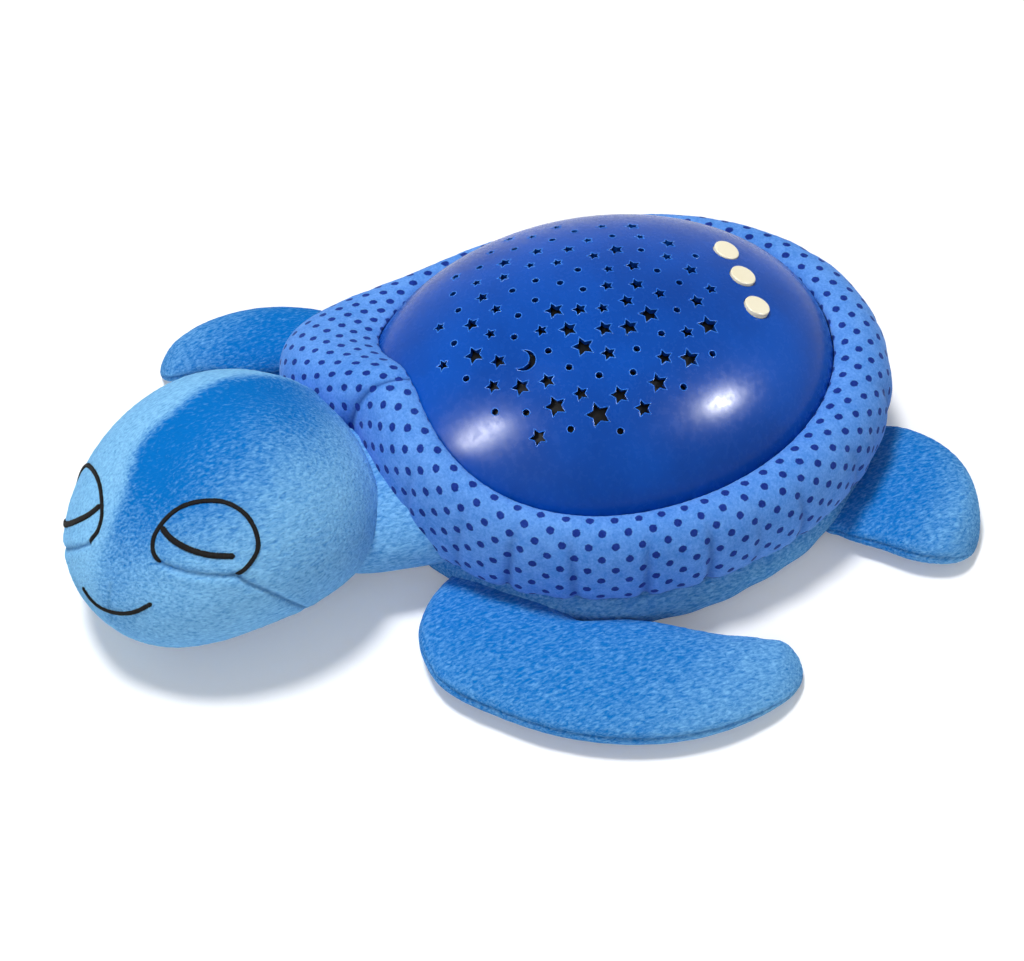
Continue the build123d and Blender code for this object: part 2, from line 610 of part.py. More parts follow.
def make_switch(x):
    """Switch body with the bore that its plunger slides in."""
    middle = SWITCH_TOP - SWITCH_HEIGHT / 2
    body = BUTTON_PLANE * Pos(x, 0, middle) * Box(SWITCH_SIZE, SWITCH_SIZE, SWITCH_HEIGHT)
    bore_low = SWITCH_TOP - PLUNGER_SEATED - BUTTON_TRAVEL - BUTTON_STOP_GAP
    return body - along_button(x, bore_low, SWITCH_TOP + OVERRUN, PLUNGER_RADIUS + PLUNGER_SLIP)


def make_battery_lead(y, sign, landing_sign):
    """Round lead from a solder tab up and over to the light board."""
    x = sign * (BAY_LENGTH / 2 - CONTACT_THICKNESS / 2)
    start = BAY_ROOF + TAB_RISE
    top = LED_BOARD_TOP + LEAD_RISE
    landing = (landing_sign * LEAD_LANDING_X, LED_BOARD_CENTRE_Y + LEAD_LANDING_Y)
    points = ((x, y, start), (x, y, top), (*landing, top), (*landing, LED_BOARD_TOP))
    route = FilletPolyline(*points, radius=LEAD_BEND)
    return sweep(Plane(origin=(x, y, start), z_dir=(0, 0, 1)) * Circle(LEAD_RADIUS), path=route)


def make_ribbon():
    """Flat ribbon from the underside of the switch board to the light board."""
    start = (BUTTON_PLANE * Pos(0, 0, BUTTON_BOARD_LOW)).position
    below = start - BUTTON_AXIS * RIBBON_DROP
    landing_y = LED_BOARD_CENTRE_Y + RIBBON_OFFSET_Y
    over = (0, landing_y, LED_BOARD_TOP + RIBBON_RISE)
    route = FilletPolyline(start, below, over, (0, landing_y, LED_BOARD_TOP), radius=RIBBON_BEND)
    across = Plane(origin=start, x_dir=(1, 0, 0), z_dir=-BUTTON_AXIS)
    return sweep(across * Rectangle(RIBBON_WIDTH, RIBBON_THICKNESS), path=route)


def hard_envelope():
    """The projector unit grown by the soft gap, which all plush is cut clear of."""
    grown = half_ellipsoid(-SOFT_GAP)
    sides = (DOME_HALF_WIDTH + SOFT_GAP, DOME_HALF_LENGTH + SOFT_GAP)
    grown += ellipse_block(*sides, DECK_LOW - SOFT_GAP, DOME_SEAT)
    cup = (CUP_HALF_WIDTH + SOFT_GAP, CUP_HALF_LENGTH + SOFT_GAP)
    grown += ellipse_block(*cup, -OVERRUN, DOME_SEAT)
    for x, y in case_screw_places():
        head_low = DECK_LOW - SCREW_HEAD_HEIGHT - SOFT_GAP
        grown += disc(x, y, head_low, DOME_SEAT, SCREW_HEAD_RADIUS + SOFT_GAP)
    return grown


def belly_point(turn, inset, height):
    """Point of the belly's outline in a direction in degrees, drawn in by a distance."""
    way_x = math.cos(math.radians(turn))
    way_y = math.sin(math.radians(turn))
    half_length = BELLY_REAR if way_y > 0 else BELLY_FRONT
    reach = 1 / math.hypot(way_x / (BELLY_WIDTH / 2), way_y / half_length) - inset
    return Vector(reach * way_x, reach * way_y, height)


def make_belly(envelope):
    """Stuffed belly ring, flat where it rests and drawn in at its seams."""
    outlines = []
    for lift_share, tuck_share in BELLY_SHARES:
        height = BELLY_LIFT + lift_share * (SEAM_HEIGHT - BELLY_LIFT)
        turns = [180 * index / BELLY_ARCS for index in range(2 * BELLY_ARCS)]
        points = [belly_point(turn, tuck_share * BELLY_TUCK, height) for turn in turns]
        outlines.append(arc_outline(points))
    return soft_loft(outlines) - envelope


def rim_section(turn, reach, crest, tuck):
    """Half-round section of the rim in a direction in degrees, from inside the dome outwards."""
    wall = wall_distance(turn)
    way = Vector(math.cos(math.radians(turn)), math.sin(math.radians(turn)), 0)

    def place(distance, height):
        return way * distance + Vector(0, 0, height)

    top = DOME_SEAT + crest
    inner = RIM_CORE_SHARE * wall
    outer = wall + reach
    contact = wall * math.sqrt(1 - (crest / DOME_RISE) ** 2)
    waist = SEAM_HEIGHT + RIM_WIDEST_SHARE * (DOME_SEAT - SEAM_HEIGHT)
    foot = outer - tuck
    low_bulge = place(foot + ROUND_SHARE * tuck, waist - ROUND_SHARE * (waist - SEAM_HEIGHT))
    high_bulge = place(contact + ROUND_SHARE * (outer - contact), waist + ROUND_SHARE * (top - waist))
    edges = [
        Line(place(inner, SEAM_HEIGHT), place(foot, SEAM_HEIGHT)),
        ThreePointArc(place(foot, SEAM_HEIGHT), low_bulge, place(outer, waist)),
        ThreePointArc(place(outer, waist), high_bulge, place(contact, top)),
        Line(place(contact, top), place(inner, top)),
        Line(place(inner, top), place(inner, SEAM_HEIGHT)),
    ]
    return Wire(edges)


def swell(turn, middle, spread):
    """Smooth bump of height one round a direction, all in degrees."""
    return math.exp(-((turn - middle) / spread) ** 2)


def rim_station(side, turn):
    """Section of the rim on one side, left 1 or right -1, at a turn in degrees from the front seam."""
    reach = RIM_THICKNESS - RIM_NOTCH * swell(turn, 0, RIM_NOTCH_SPREAD)
    crest = RIM_CREST
    tuck = RIM_TUCK + RIM_FRONT_TUCK * swell(turn, 0, RIM_NOTCH_SPREAD)
    if side > 0:
        reach += RIM_REAR * swell(turn, RIM_REAR_TURN, RIM_REAR_SPREAD)
        crest += RIM_FRONT_RISE * swell(turn, 0, RIM_LEFT_RISE_SPREAD)
    else:
        rear = RIM_REAR * swell(180, RIM_REAR_TURN, RIM_REAR_SPREAD)
        reach += rear * swell(turn, 180, RIM_RIGHT_REAR_SPREAD)
        reach += RIM_LOBE * swell(turn, RIM_LOBE_TURN, RIM_LOBE_SPREAD)
        reach -= RIM_SIDE_TRIM * swell(turn, RIM_SIDE_TURN, RIM_SIDE_SPREAD)
        crest += RIM_FRONT_RISE * swell(turn, 0, RIM_RIGHT_RISE_SPREAD)
        crest -= RIM_SIDE_DIP * swell(turn, RIM_SIDE_TURN, RIM_SIDE_SPREAD)
    return rim_section(side * turn - 90, reach, crest, tuck)


def make_rim_bolster(envelope):
    """Stuffed rim round the dome: two half rings from the front seam to the rear."""
    halves = []
    for side in (1, -1):
        turns = [180 * index / RIM_STATIONS for index in range(RIM_STATIONS + 1)]
        halves.append(soft_loft([rim_station(side, turn) for turn in turns]) - envelope)
    return halves[0] + halves[1]


def make_head():
    """Stuffed head: broad cheeks that taper to a blunt nose, turned a little to the left."""
    forward = Vector(math.sin(math.radians(HEAD_TURN)), -math.cos(math.radians(HEAD_TURN)), 0)
    sideways = Vector(-forward.Y, forward.X, 0)
    outlines = []
    for along, wide, tall, lift in HEAD_SHARES:
        centre = Vector(HEAD_BACK_X, HEAD_BACK_Y, 0) + forward * (along * HEAD_LENGTH)
        centre += Vector(0, 0, lift * HEAD_HEIGHT + SOFT_GAP)
        across = sideways * (wide * HEAD_WIDTH / 2)
        upward = Vector(0, 0, tall * HEAD_HEIGHT / 2)
        outlines.append(oval(centre, across, upward))
    return soft_loft(outlines)


def make_neck(larger_forms):
    """Stuffed neck between the body and the head, cut by both."""
    outlines = []
    for along, size in NECK_SHARES:
        centre = Vector(HEAD_BACK_X * along, NECK_ROOT_Y - along * NECK_LENGTH, NECK_LIFT)
        across = Vector(size * NECK_WIDTH / 2, 0, 0)
        outlines.append(oval(centre, across, Vector(0, 0, size * NECK_HEIGHT / 2)))
    neck = soft_loft(outlines)
    for form in larger_forms:
        neck -= form
    return largest(neck)


def belly_normal(turn):
    """Outward direction of the belly's outline in a direction in degrees."""
    point = belly_point(turn, 0, 0)
    half_length = BELLY_REAR if point.Y > 0 else BELLY_FRONT
    return Vector(point.X / (BELLY_WIDTH / 2) ** 2, point.Y / half_length ** 2, 0).normalized()


def flipper_root(angle, root_radius):
    """Root of a flipper beside the belly, far enough out for the root to turn there."""
    return belly_point(angle, 0, FLIPPER_ROOT_LIFT) + belly_normal(angle) * (root_radius + FLIPPER_SEAM_GAP)


def make_flipper(root, heading, length, thickness, rows, sweep_side):
    """Stuffed flipper from its pinched root to a rounded tip, swept to one side."""
    outward = Vector(math.cos(math.radians(heading)), math.sin(math.radians(heading)), 0)
    sideways = Vector(-outward.Y, outward.X, 0) * sweep_side
    outlines = []
    for index, (lead_out, lead_along, trail_out, trail_along, thick_share) in enumerate(rows):
        lead = root + outward * (lead_out * length) + sideways * (lead_along * length)
        trail = root + outward * (trail_out * length) + sideways * (trail_along * length)
        middle = (lead + trail) * 0.5
        lift = FLIPPER_LIFT + thickness * (0.5 + thick_share) / 3
        if index == 0:
            lift = FLIPPER_ROOT_LIFT
        across = (lead - trail) * (0.5 * sweep_side)
        upward = Vector(0, 0, thick_share * thickness / 2)
        outlines.append(oval(Vector(middle.X, middle.Y, lift), across, upward))
    return soft_loft(outlines)


LEFT_ROOT = flipper_root(LEFT_FLIPPER_ANGLE, FRONT_FLIPPER_ROOT_SHARE * LEFT_FLIPPER_LENGTH)
RIGHT_ROOT = flipper_root(RIGHT_FLIPPER_ANGLE, RIGHT_FLIPPER_ROOT_SHARE * RIGHT_FLIPPER_LENGTH)
LEFT_REAR_ROOT = flipper_root(LEFT_REAR_FLIPPER_ANGLE, 0)
RIGHT_REAR_ROOT = flipper_root(RIGHT_REAR_FLIPPER_ANGLE, 0)


def make_plush():
    """All stuffed pieces, smaller ones cut by the larger ones."""
    envelope = hard_envelope()
    pieces = {"belly": make_belly(envelope), "rim_bolster": make_rim_bolster(envelope)}
    pieces["head"] = make_head() - pieces["rim_bolster"]
    pieces["neck"] = make_neck([envelope, pieces["belly"], pieces["rim_bolster"], pieces["head"]])
    front = (FRONT_FLIPPER_THICKNESS, FRONT_FLIPPER_SHARES, 1)
    left = (LEFT_FLIPPER_HEADING, LEFT_FLIPPER_LENGTH)
    right = (RIGHT_FLIPPER_HEADING, RIGHT_FLIPPER_LENGTH)
    rear = (REAR_FLIPPER_LENGTH, REAR_FLIPPER_THICKNESS)
    spread = (LEFT_REAR_FLIPPER_HEADING, *rear, REAR_FLIPPER_SHARES, -1)
    swept = (RIGHT_REAR_FLIPPER_HEADING, *rear, SWEPT_FLIPPER_SHARES, -1)
    pieces["front_flipper_left"] = make_flipper(LEFT_ROOT, *left, *front)
    pieces["front_flipper_right"] = make_flipper(RIGHT_ROOT, *right, *front)
    pieces["rear_flipper_left"] = make_flipper(LEFT_REAR_ROOT, *spread)
    pieces["rear_flipper_right"] = make_flipper(RIGHT_REAR_ROOT, *swept)
    return pieces


def make_projector():
    """All hard pieces of the projector unit."""
    pieces = {"dome_shell": make_dome_shell(), "dome_liner": make_dome_liner()}
    pieces["base_tray"] = make_base_tray()
    case_screws = [Pos(x, y, DECK_LOW) * screw(CASE_SCREW_LENGTH) for x, y in case_screw_places()]
    pieces["case_screws"] = Compound(children=case_screws)
    pieces["battery_door"] = make_battery_door()
    pieces["door_screw"] = Pos(0, DOOR_SCREW_Y, DOOR_SCREW_SEAT) * screw(DOOR_SCREW_LENGTH)
    for name, place in zip(("front", "middle", "rear"), cell_places()):
        pieces["battery_cell_" + name] = make_cell(*place)
    plates = [contact_plate(y, sign) for y, sign in cell_places()]
    pieces["contact_plates"] = Compound(children=plates)
    leaves = [contact_leaf(y, -sign) for y, sign in cell_places()]
    pieces["contact_leaves"] = Compound(children=leaves)
    pieces["led_board"] = make_led_board()
    for name, step in (("amber", -1), ("green", 0), ("blue", 1)):
        pieces["led_" + name] = make_led(step * LED_PITCH)
    chip = Box(CHIP_WIDTH, CHIP_LENGTH, CHIP_HEIGHT, align=LOW_END)
    pieces["control_chip"] = Pos(0, LED_BOARD_CENTRE_Y + CHIP_OFFSET_Y, LED_BOARD_TOP) * chip
    led_screws = []
    board_screws = []
    for side in (-1, 1):
        turned = Rot(180, 0, 0) * screw(BOARD_SCREW_LENGTH)
        led_screws.append(Pos(side * POST_SPREAD, LED_BOARD_CENTRE_Y, LED_BOARD_TOP) * turned)
        place = BUTTON_PLANE * Pos(side * BUTTON_BOSS_SPREAD, 0, BUTTON_BOARD_LOW)
        board_screws.append(place * screw(BOARD_SCREW_LENGTH))
    pieces["led_board_screws"] = Compound(children=led_screws)
    pieces["button_board"] = make_button_board()
    pieces["button_board_screws"] = Compound(children=board_screws)
    pieces["switch_bodies"] = Compound(children=[make_switch(x) for x in BUTTON_PLACES.values()])
    for name, x in BUTTON_PLACES.items():
        pieces["button_" + name] = make_button(x)
        pieces["plunger_" + name] = along_button(x, SWITCH_TOP - PLUNGER_SEATED, STEM_LOW, PLUNGER_RADIUS)
    plus, minus = terminal_places()
    pieces["battery_lead_red"] = make_battery_lead(*plus, 1)
    pieces["battery_lead_black"] = make_battery_lead(*minus, -1)
    pieces["button_ribbon"] = make_ribbon()
    return pieces


for node, shape in {**make_projector(), **make_plush()}.items():
    export_step(shape, "parts/" + node + ".step")
    print(node, round(shape.volume, 1))
print("button axis", BUTTON_AXIS, "middle button at", BUTTON_PLANE.origin)
print("door hinge at", HINGE_Y, HINGE_HEIGHT)
print("flipper roots", LEFT_ROOT, RIGHT_ROOT, LEFT_REAR_ROOT, RIGHT_REAR_ROOT)
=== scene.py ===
"""Looks of the sea turtle night light, built over its fixed frame in metres."""
import json
import bpy
import numpy as np
from bpy.props import FloatProperty, FloatVectorProperty, PointerProperty
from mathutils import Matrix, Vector


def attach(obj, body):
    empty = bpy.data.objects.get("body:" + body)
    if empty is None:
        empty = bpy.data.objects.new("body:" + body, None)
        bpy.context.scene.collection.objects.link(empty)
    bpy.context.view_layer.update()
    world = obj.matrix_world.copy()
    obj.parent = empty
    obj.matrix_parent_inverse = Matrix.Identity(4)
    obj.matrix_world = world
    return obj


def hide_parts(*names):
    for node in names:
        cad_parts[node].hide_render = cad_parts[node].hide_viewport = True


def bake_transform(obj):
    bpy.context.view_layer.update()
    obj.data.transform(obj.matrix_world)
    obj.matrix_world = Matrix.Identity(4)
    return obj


bl_info = {
    "name": "Sea Turtle Night Light",
    "version": (1, 0, 0),
    "blender": (4, 5, 0),
    "location": "3D View > Sidebar > Turtle",
    "description": "Plush, cloth, embroidery, hard finishes and stage of a sea turtle night light",
    "category": "Object",
}

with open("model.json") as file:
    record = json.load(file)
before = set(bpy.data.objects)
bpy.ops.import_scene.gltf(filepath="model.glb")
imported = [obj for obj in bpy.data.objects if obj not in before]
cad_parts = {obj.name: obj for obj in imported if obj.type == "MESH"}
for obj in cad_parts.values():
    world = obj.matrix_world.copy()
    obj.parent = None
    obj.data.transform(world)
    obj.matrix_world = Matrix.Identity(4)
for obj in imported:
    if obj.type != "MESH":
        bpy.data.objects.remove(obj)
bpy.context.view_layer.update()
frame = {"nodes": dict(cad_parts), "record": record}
MM = 0.001

# Dome outline and seat
DOME_HALF_WIDTH = 68 * MM
DOME_HALF_LENGTH = 86 * MM
DOME_RISE = 45 * MM
DOME_SEAT = 40 * MM
SEAM_HEIGHT = 18 * MM
DECK_HEIGHT = 30.6 * MM
CLOTH_GAP = 0.3 * MM

# Rim: plain reach, crest, tuck and waist, and how the front seam, its lobe, the rear and the right side change them
RIM_REACH = 14 * MM
RIM_DRAWN_IN = 10.5 * MM
RIM_REAR = 7 * MM
RIM_LOBE = 27 * MM
RIM_RIGHT_THIN = 5 * MM
RIM_CREST = 8 * MM
RIM_CREST_LIFT = 19 * MM
RIM_RIGHT_LOW = 4 * MM
RIM_TUCK = 5 * MM
RIM_FRONT_TUCK = 6 * MM
RIM_WAIST = 30.1 * MM
RIM_WAIST_LIFT = 11 * MM
RIM_ROLL = 2.6 * MM

# Rows of the rim's section: roll at the dome, shoulder and lower quarter, and those that show
ROLL_ROWS = 12
SHOULDER_ROWS = 30
LOWER_ROWS = 16
SHOWN_ROWS = ROLL_ROWS + SHOULDER_ROWS + LOWER_ROWS - 2

# Field of holes in the dome: radius, middle, count, golden turn, sizes, crescent and rounded edges
FIELD_RADIUS = 50 * MM
FIELD_MIDDLE = -9.5 * MM
FIELD_COUNT = 96
GOLDEN_TURN = np.pi * (3 - np.sqrt(5))
STAR_RADIUS = 4.9 * MM
DOT_RADIUS = 1.3 * MM
MOON_RADIUS = 4.1 * MM
MOON_INDEX = 31
MOON_TURN = np.radians(40.0)
SMALL_SIDE_SHARE = 0.52
BEAD_HALF_WIDTH = 0.2 * MM
BEAD_HALF_HEIGHT = 0.12 * MM
STAR_SIZE_SHARES = (0.78, 0.0, 1.0, 0.66, 0.0, 0.9, 0.72, 0.0, 0.84, 0.0, 0.7)

# Gathers of the rim's lower seam: turn from the front seam in degrees and depth
GATHERS = ((22, 0.7), (36, 0.6), (48.6, 1.3), (64.1, 1.1), (81.5, 1.25), (97.4, 1.3), (110, 0.5), (122.3, 1.0),
           (140, 0.6), (158, 0.8), (176, 0.6), (-162, 0.7), (-141, 0.9), (-122, 0.7), (-104, 0.9), (-86, 0.6),
           (-66, 0.8), (-44, 0.7))

# Belly ring: outline, opening for the hard base, tuck, and shares of its height and of its tuck, from the floor up
BELLY_HALF_WIDTH = 82 * MM
BELLY_FRONT = 81 * MM
BELLY_REAR = 102 * MM
BELLY_TUCK = 12 * MM
OPENING_HALF_WIDTH = 59 * MM
OPENING_HALF_LENGTH = 71 * MM
FLOOR_GAP = 0.3 * MM
BELLY_SHARES = ((0.0, 1.0), (0.12, 0.42), (0.32, 0.1), (0.55, 0.0), (0.8, 0.06), (1.0, 0.28))

# Neck: start, run towards the head, half sizes, and shares of its run and size
NECK_START = np.array((0.0, -66.0, 25.0)) * MM
NECK_RUN = np.array((-1.4, -34.0, 0.0)) * MM
NECK_HALF_WIDTH = 44.6 * MM
NECK_HALF_HEIGHT = 24.5 * MM
NECK_SHARES = ((-0.25, 1.0), (0.0, 1.0), (0.5, 0.98), (1.0, 0.93), (1.25, 0.86))

# Head stations: share of length, of width, of height, and middle height
HEAD_SHARES = ((-0.03, 0.0, 0.0, 0.415), (0.0, 0.52, 0.52, 0.415), (0.06, 0.7, 0.7, 0.436),
               (0.18, 0.89, 0.89, 0.47), (0.36, 1.0, 1.0, 0.507), (0.54, 0.99, 0.98, 0.505),
               (0.7, 0.905, 0.885, 0.466), (0.84, 0.735, 0.705, 0.417), (0.94, 0.5, 0.477, 0.398),
               (1.0, 0.19, 0.19, 0.404), (1.01, 0.0, 0.0, 0.404))
HEAD_BACK = np.array((-1.4, -92.8, 0.0)) * MM
HEAD_TURN = np.radians(12.4)
HEAD_SIZE = np.array((103.5, 94.4, 77.5)) * MM
HEAD_LIFT = 0.3 * MM
HEAD_FORWARD = np.array((np.sin(HEAD_TURN), -np.cos(HEAD_TURN), 0.0))
HEAD_LEFT = np.array((np.cos(HEAD_TURN), np.sin(HEAD_TURN), 0.0))
HEAD_UP = np.array((0.0, 0.0, 1.0))
HEAD_CENTRE = HEAD_BACK + HEAD_FORWARD * (0.46 * HEAD_SIZE[0]) + HEAD_UP * (0.49 * HEAD_SIZE[2])

# Lines on the head: degrees from its nose to its left, and degrees up, seen from its middle
FACE_TURN = np.radians(23.9)
FACE_ROLL = np.radians(20.7)
EYE_MIDDLE = (54, 36)
EYE_TWIST = np.radians(8.0)
EYE_ARC = ((35, 23.5), (30, 27), (28, 31), (29, 38), (37, 48), (54, 53), (69, 52), (80, 45), (82.5, 37),
           (81, 30), (76, 25), (69, 21))
EYE_LID = ((29.5, 37.5), (37, 34.5), (45, 32.5), (56, 30.5), (70, 29))
EYE_SEAM = ((35, 23.5), (41, 23), (48, 22.5), (61, 21.5), (69, 21))
CHEEK_SEAM = ((69, 21), (74.5, 15.7), (81, 9.8), (87.3, 1.6), (94.3, -9.8), (101, -23))
MOUTH = ((5, -2), (10, -4), (19, -3.5), (27, 0), (35, 7))
RIDGE = ((-166, 8), (-160, 24), (-150, 44), (-122, 64), (-58, 71), (-25, 58), (1, 43), (9, 27), (13, 12), (17, 1),
         (19, -8))

# Strength of the crown ridge at heights above the floor
RIDGE_STRENGTHS = ((0, 0.05), (25 * MM, 0.12), (40 * MM, 0.2), (52 * MM, 0.34), (62 * MM, 0.64), (72 * MM, 1.0),
                   (80 * MM, 1.0))

# Flipper stations, left front first, in the order of the flippers below: leading edge out and along, trailing edge
# out and along, thickness
FRONT_SHARES = ((-0.31, 0.0, -0.31, 0.12, 0.0), (-0.24, -0.1, -0.25, 0.2, 0.66), (-0.11, -0.165, -0.17, 0.27, 0.84),
                (0.05, -0.165, -0.145, 0.33, 0.95), (0.2, -0.06, -0.19, 0.42, 1.0), (0.265, 0.2, -0.23, 0.52, 1.02),
                (0.245, 0.48, -0.25, 0.63, 1.0), (0.145, 0.73, -0.275, 0.75, 0.9), (-0.03, 0.93, -0.315, 0.86, 0.7),
                (-0.14, 1.0, -0.335, 0.94, 0.46), (-0.22, 1.03, -0.315, 1.0, 0.0))
FORWARD_SHARES = ((-0.2, -0.12, -0.2, 0.0, 0.0), (-0.16, -0.16, -0.19, 0.12, 0.6), (-0.07, -0.185, -0.165, 0.22, 0.84),
                  (0.05, -0.165, -0.155, 0.32, 0.95), *FRONT_SHARES[4:])
REAR_SHARES = ((-0.2, -0.3, -0.2, 0.3, 0.0), (-0.12, -0.52, -0.12, 0.52, 0.5), (0.02, -0.575, 0.02, 0.575, 0.7),
               (0.38, -0.565, 0.355, 0.595, 0.92), (0.71, -0.385, 0.645, 0.6, 1.0), (0.917, -0.106, 0.9, 0.5, 0.8),
               (0.99, 0.06, 0.985, 0.39, 0.42), (1.02, 0.15, 1.02, 0.3, 0.0))
SWEPT_SHARES = ((-0.2, -0.25, -0.2, 0.25, 0.0), (-0.12, -0.42, -0.12, 0.42, 0.5), (0.02, -0.465, 0.02, 0.465, 0.7),
                (0.31, -0.3, 0.07, 0.54, 0.92), (0.445, 0.02, 0.09, 0.66, 1.0), (0.475, 0.36, 0.12, 0.78, 0.98),
                (0.455, 0.66, 0.16, 0.89, 0.86), (0.39, 0.86, 0.22, 0.96, 0.56), (0.33, 0.93, 0.28, 0.97, 0.0))

# Flippers: node, body, joint, heading in degrees, length, thickness, stations and side of the sweep, level of painted
# light and shade
LIMBS = (("front_flipper_left", "left_front_limb", "left_front_flipper_swing",
          (-41, 108 * MM, 17.2 * MM, FRONT_SHARES, 1), 0.24),
         ("front_flipper_right", "right_front_limb", "right_front_flipper_swing",
          (144, 73 * MM, 17.2 * MM, FORWARD_SHARES, 1), 0.12),
         ("rear_flipper_left", "left_rear_limb", "left_rear_flipper_lift",
          (49, 46 * MM, 17 * MM, REAR_SHARES, -1), 0.22),
         ("rear_flipper_right", "right_rear_limb", "right_rear_flipper_lift",
          (151.5, 46 * MM, 17 * MM, SWEPT_SHARES, -1), 0.22))

# Hard finishes: slot, name, two screen colours, roughness, metal, grain per metre and its depth, coat and specular
HARD_FINISHES = (
    ("smoked_plastic", "smoked_liner", (12, 12, 13), (26, 26, 27), 0.4, 0.0, 600.0, 0.02 * MM, 0.0, 0.1),
    ("base_plastic", "base_texture", (38, 96, 176), (58, 118, 196), 0.5, 0.0, 2600.0, 0.08 * MM),
    ("screw_steel", "screw_zinc", (150, 152, 156), (196, 198, 200), 0.32, 1.0, 3200.0, 0.03 * MM),
    ("contact_metal", "contact_nickel", (176, 174, 168), (212, 210, 204), 0.26, 1.0, 1800.0, 0.02 * MM),
    ("circuit_board", "board_mask", (18, 84, 44), (34, 112, 60), 0.38, 0.0, 1400.0, 0.03 * MM),
    ("chip_plastic", "chip_epoxy", (26, 26, 27), (46, 46, 48), 0.55, 0.0, 2800.0, 0.04 * MM),
    ("button_plastic", "button_cream", (240, 230, 196), (252, 246, 222), 0.34, 0.0, 900.0, 0.03 * MM, 0.1),
    ("lead_red", "lead_red_sleeve", (160, 22, 20), (196, 40, 34), 0.45, 0.0, 1200.0, 0.05 * MM),
    ("lead_black", "lead_black_sleeve", (20, 20, 21), (42, 42, 44), 0.45, 0.0, 1200.0, 0.05 * MM),
    ("lead_grey", "ribbon_grey", (132, 133, 136), (168, 169, 172), 0.5, 0.0, 1200.0, 0.05 * MM))
LENS_FINISHES = (("led_amber_lens", "amber_lens", (246, 178, 50)), ("led_green_lens", "green_lens", (84, 206, 110)),
                 ("led_blue_lens", "blue_lens", (84, 130, 240)))

# Stage: point that the camera faces, floor, and lamps that the dome mirrors: spot, direction, size and share of power
CAMERA_TARGET = np.array((32.6, -43.8, 40.0)) * MM
SENSOR_WIDTH = 36
FLOOR_CORNER = 5.0
FLOOR_HEIGHT = -0.25 * MM
KEY_PLACE = (-0.38, -0.36, 2.4)
LAMP_TARGET = (0, 0, 0.03)
GLINT_DISTANCE = 0.95
GLINTS = (("glint_rear", (46.4, 26.2, 69.9), (0.385, 0.633, 0.672), (0.09, 0.09), 1.5),
          ("glint_front", (31.7, -54.8, 67.6), (0.157, -0.631, 0.759), (0.16, 0.5), 1.8))


def linear(red, green, blue):
    """Screen colour of 0 to 255 as linear light: the standard screen curve undone."""
    share = np.array((red, green, blue)) / 255
    light = np.where(share <= 0.04045, share / 12.92, ((share + 0.055) / 1.055) ** 2.4)
    return (*(float(value) for value in light), 1.0)


def smooth_through(places, values, at):
    """Cubic curve through values at places, with slopes taken from the neighbours on both sides."""
    places = np.asarray(places, float)
    values = np.asarray(values, float)
    slopes = np.gradient(values, places)
    index = np.clip(np.searchsorted(places, at) - 1, 0, len(places) - 2)
    width = places[index + 1] - places[index]
    t = np.clip((at - places[index]) / width, 0, 1)
    low = (2 * t ** 3 - 3 * t ** 2 + 1) * values[index] + (t ** 3 - 2 * t ** 2 + t) * width * slopes[index]
    return low + (3 * t ** 2 - 2 * t ** 3) * values[index + 1] + (t ** 3 - t ** 2) * width * slopes[index + 1]


def full_turn(count):
    """Even turns once round, in radians."""
    return 2 * np.pi * np.arange(count) / count


def unit(vectors):
    """Vectors scaled to length one."""
    return vectors / np.linalg.norm(vectors, axis=-1, keepdims=True)


def run_lengths(points):
    """Length along a line of points from its start to each of them."""
    return np.concatenate([[0], np.cumsum(np.linalg.norm(np.diff(points, axis=0), axis=1))])


def swell(turn, middle, spread):
    """Bell-shaped bump of height one round a middle."""
    return np.exp(-((turn - middle) / spread) ** 2)


def ease(value):
    """Smooth step from 0 to 1: three squares less two cubes, held outside."""
    share = np.clip(value, 0, 1)
    return share * share * (3 - 2 * share)


def ellipse_reach(turn, half_width, half_front, half_rear):
    """Distance from the middle to an oval outline in a direction in radians, with its own front and rear length."""
    half_length = np.where(np.sin(turn) > 0, half_rear, half_front)
    return 1 / np.hypot(np.cos(turn) / half_width, np.sin(turn) / half_length)


def normals_of(points, wrap_rows=False):
    """Unit normals of a grid whose columns close round: cross product of the two neighbour differences."""
    def ring_step(axis):
        return np.roll(points, -1, axis) - np.roll(points, 1, axis)
    cross = np.cross(ring_step(0) if wrap_rows else np.gradient(points, axis=0), ring_step(1))
    length = np.maximum(np.linalg.norm(cross, axis=-1, keepdims=True), 1e-12)
    return cross / length


def outward_normals(points):
    """Normals of a tube-like grid that point away from the middle of each row."""
    normals = normals_of(points)
    away = points - points.mean(axis=1, keepdims=True)
    return normals * np.where(np.sum(normals * away) < 0, -1, 1)


def pile_noise(shape, size, seed):
    """Soft random relief of a grid: seeded noise averaged with its neighbours, scaled to a size."""
    noise = np.random.default_rng(seed).normal(size=shape)
    for axis in (0, 1):
        noise = (np.roll(noise, 1, axis) + 2 * noise + np.roll(noise, -1, axis)) / 4
    return noise * (size / noise.std())


def distance_to_line(points, line):
    """Least distance of each point to a line of short runs, run by run, and the nearest run's direction and place."""
    flat = points.reshape(-1, 3)
    best = np.full(len(flat), 1e9)
    nearest = np.zeros_like(flat)
    heading = np.zeros_like(flat)
    for start, end in zip(line[:-1], line[1:]):
        run = end - start
        share = np.clip((flat - start) @ run / (run @ run), 0, 1)
        foot = start + share[:, None] * run
        gap = np.linalg.norm(flat - foot, axis=1)
        closer = gap < best
        best = np.where(closer, gap, best)
        nearest = np.where(closer[:, None], foot, nearest)
        heading = np.where(closer[:, None], run / np.linalg.norm(run), heading)
    shape = points.shape[:-1]
    return best.reshape(shape), nearest.reshape(points.shape), heading.reshape(points.shape)


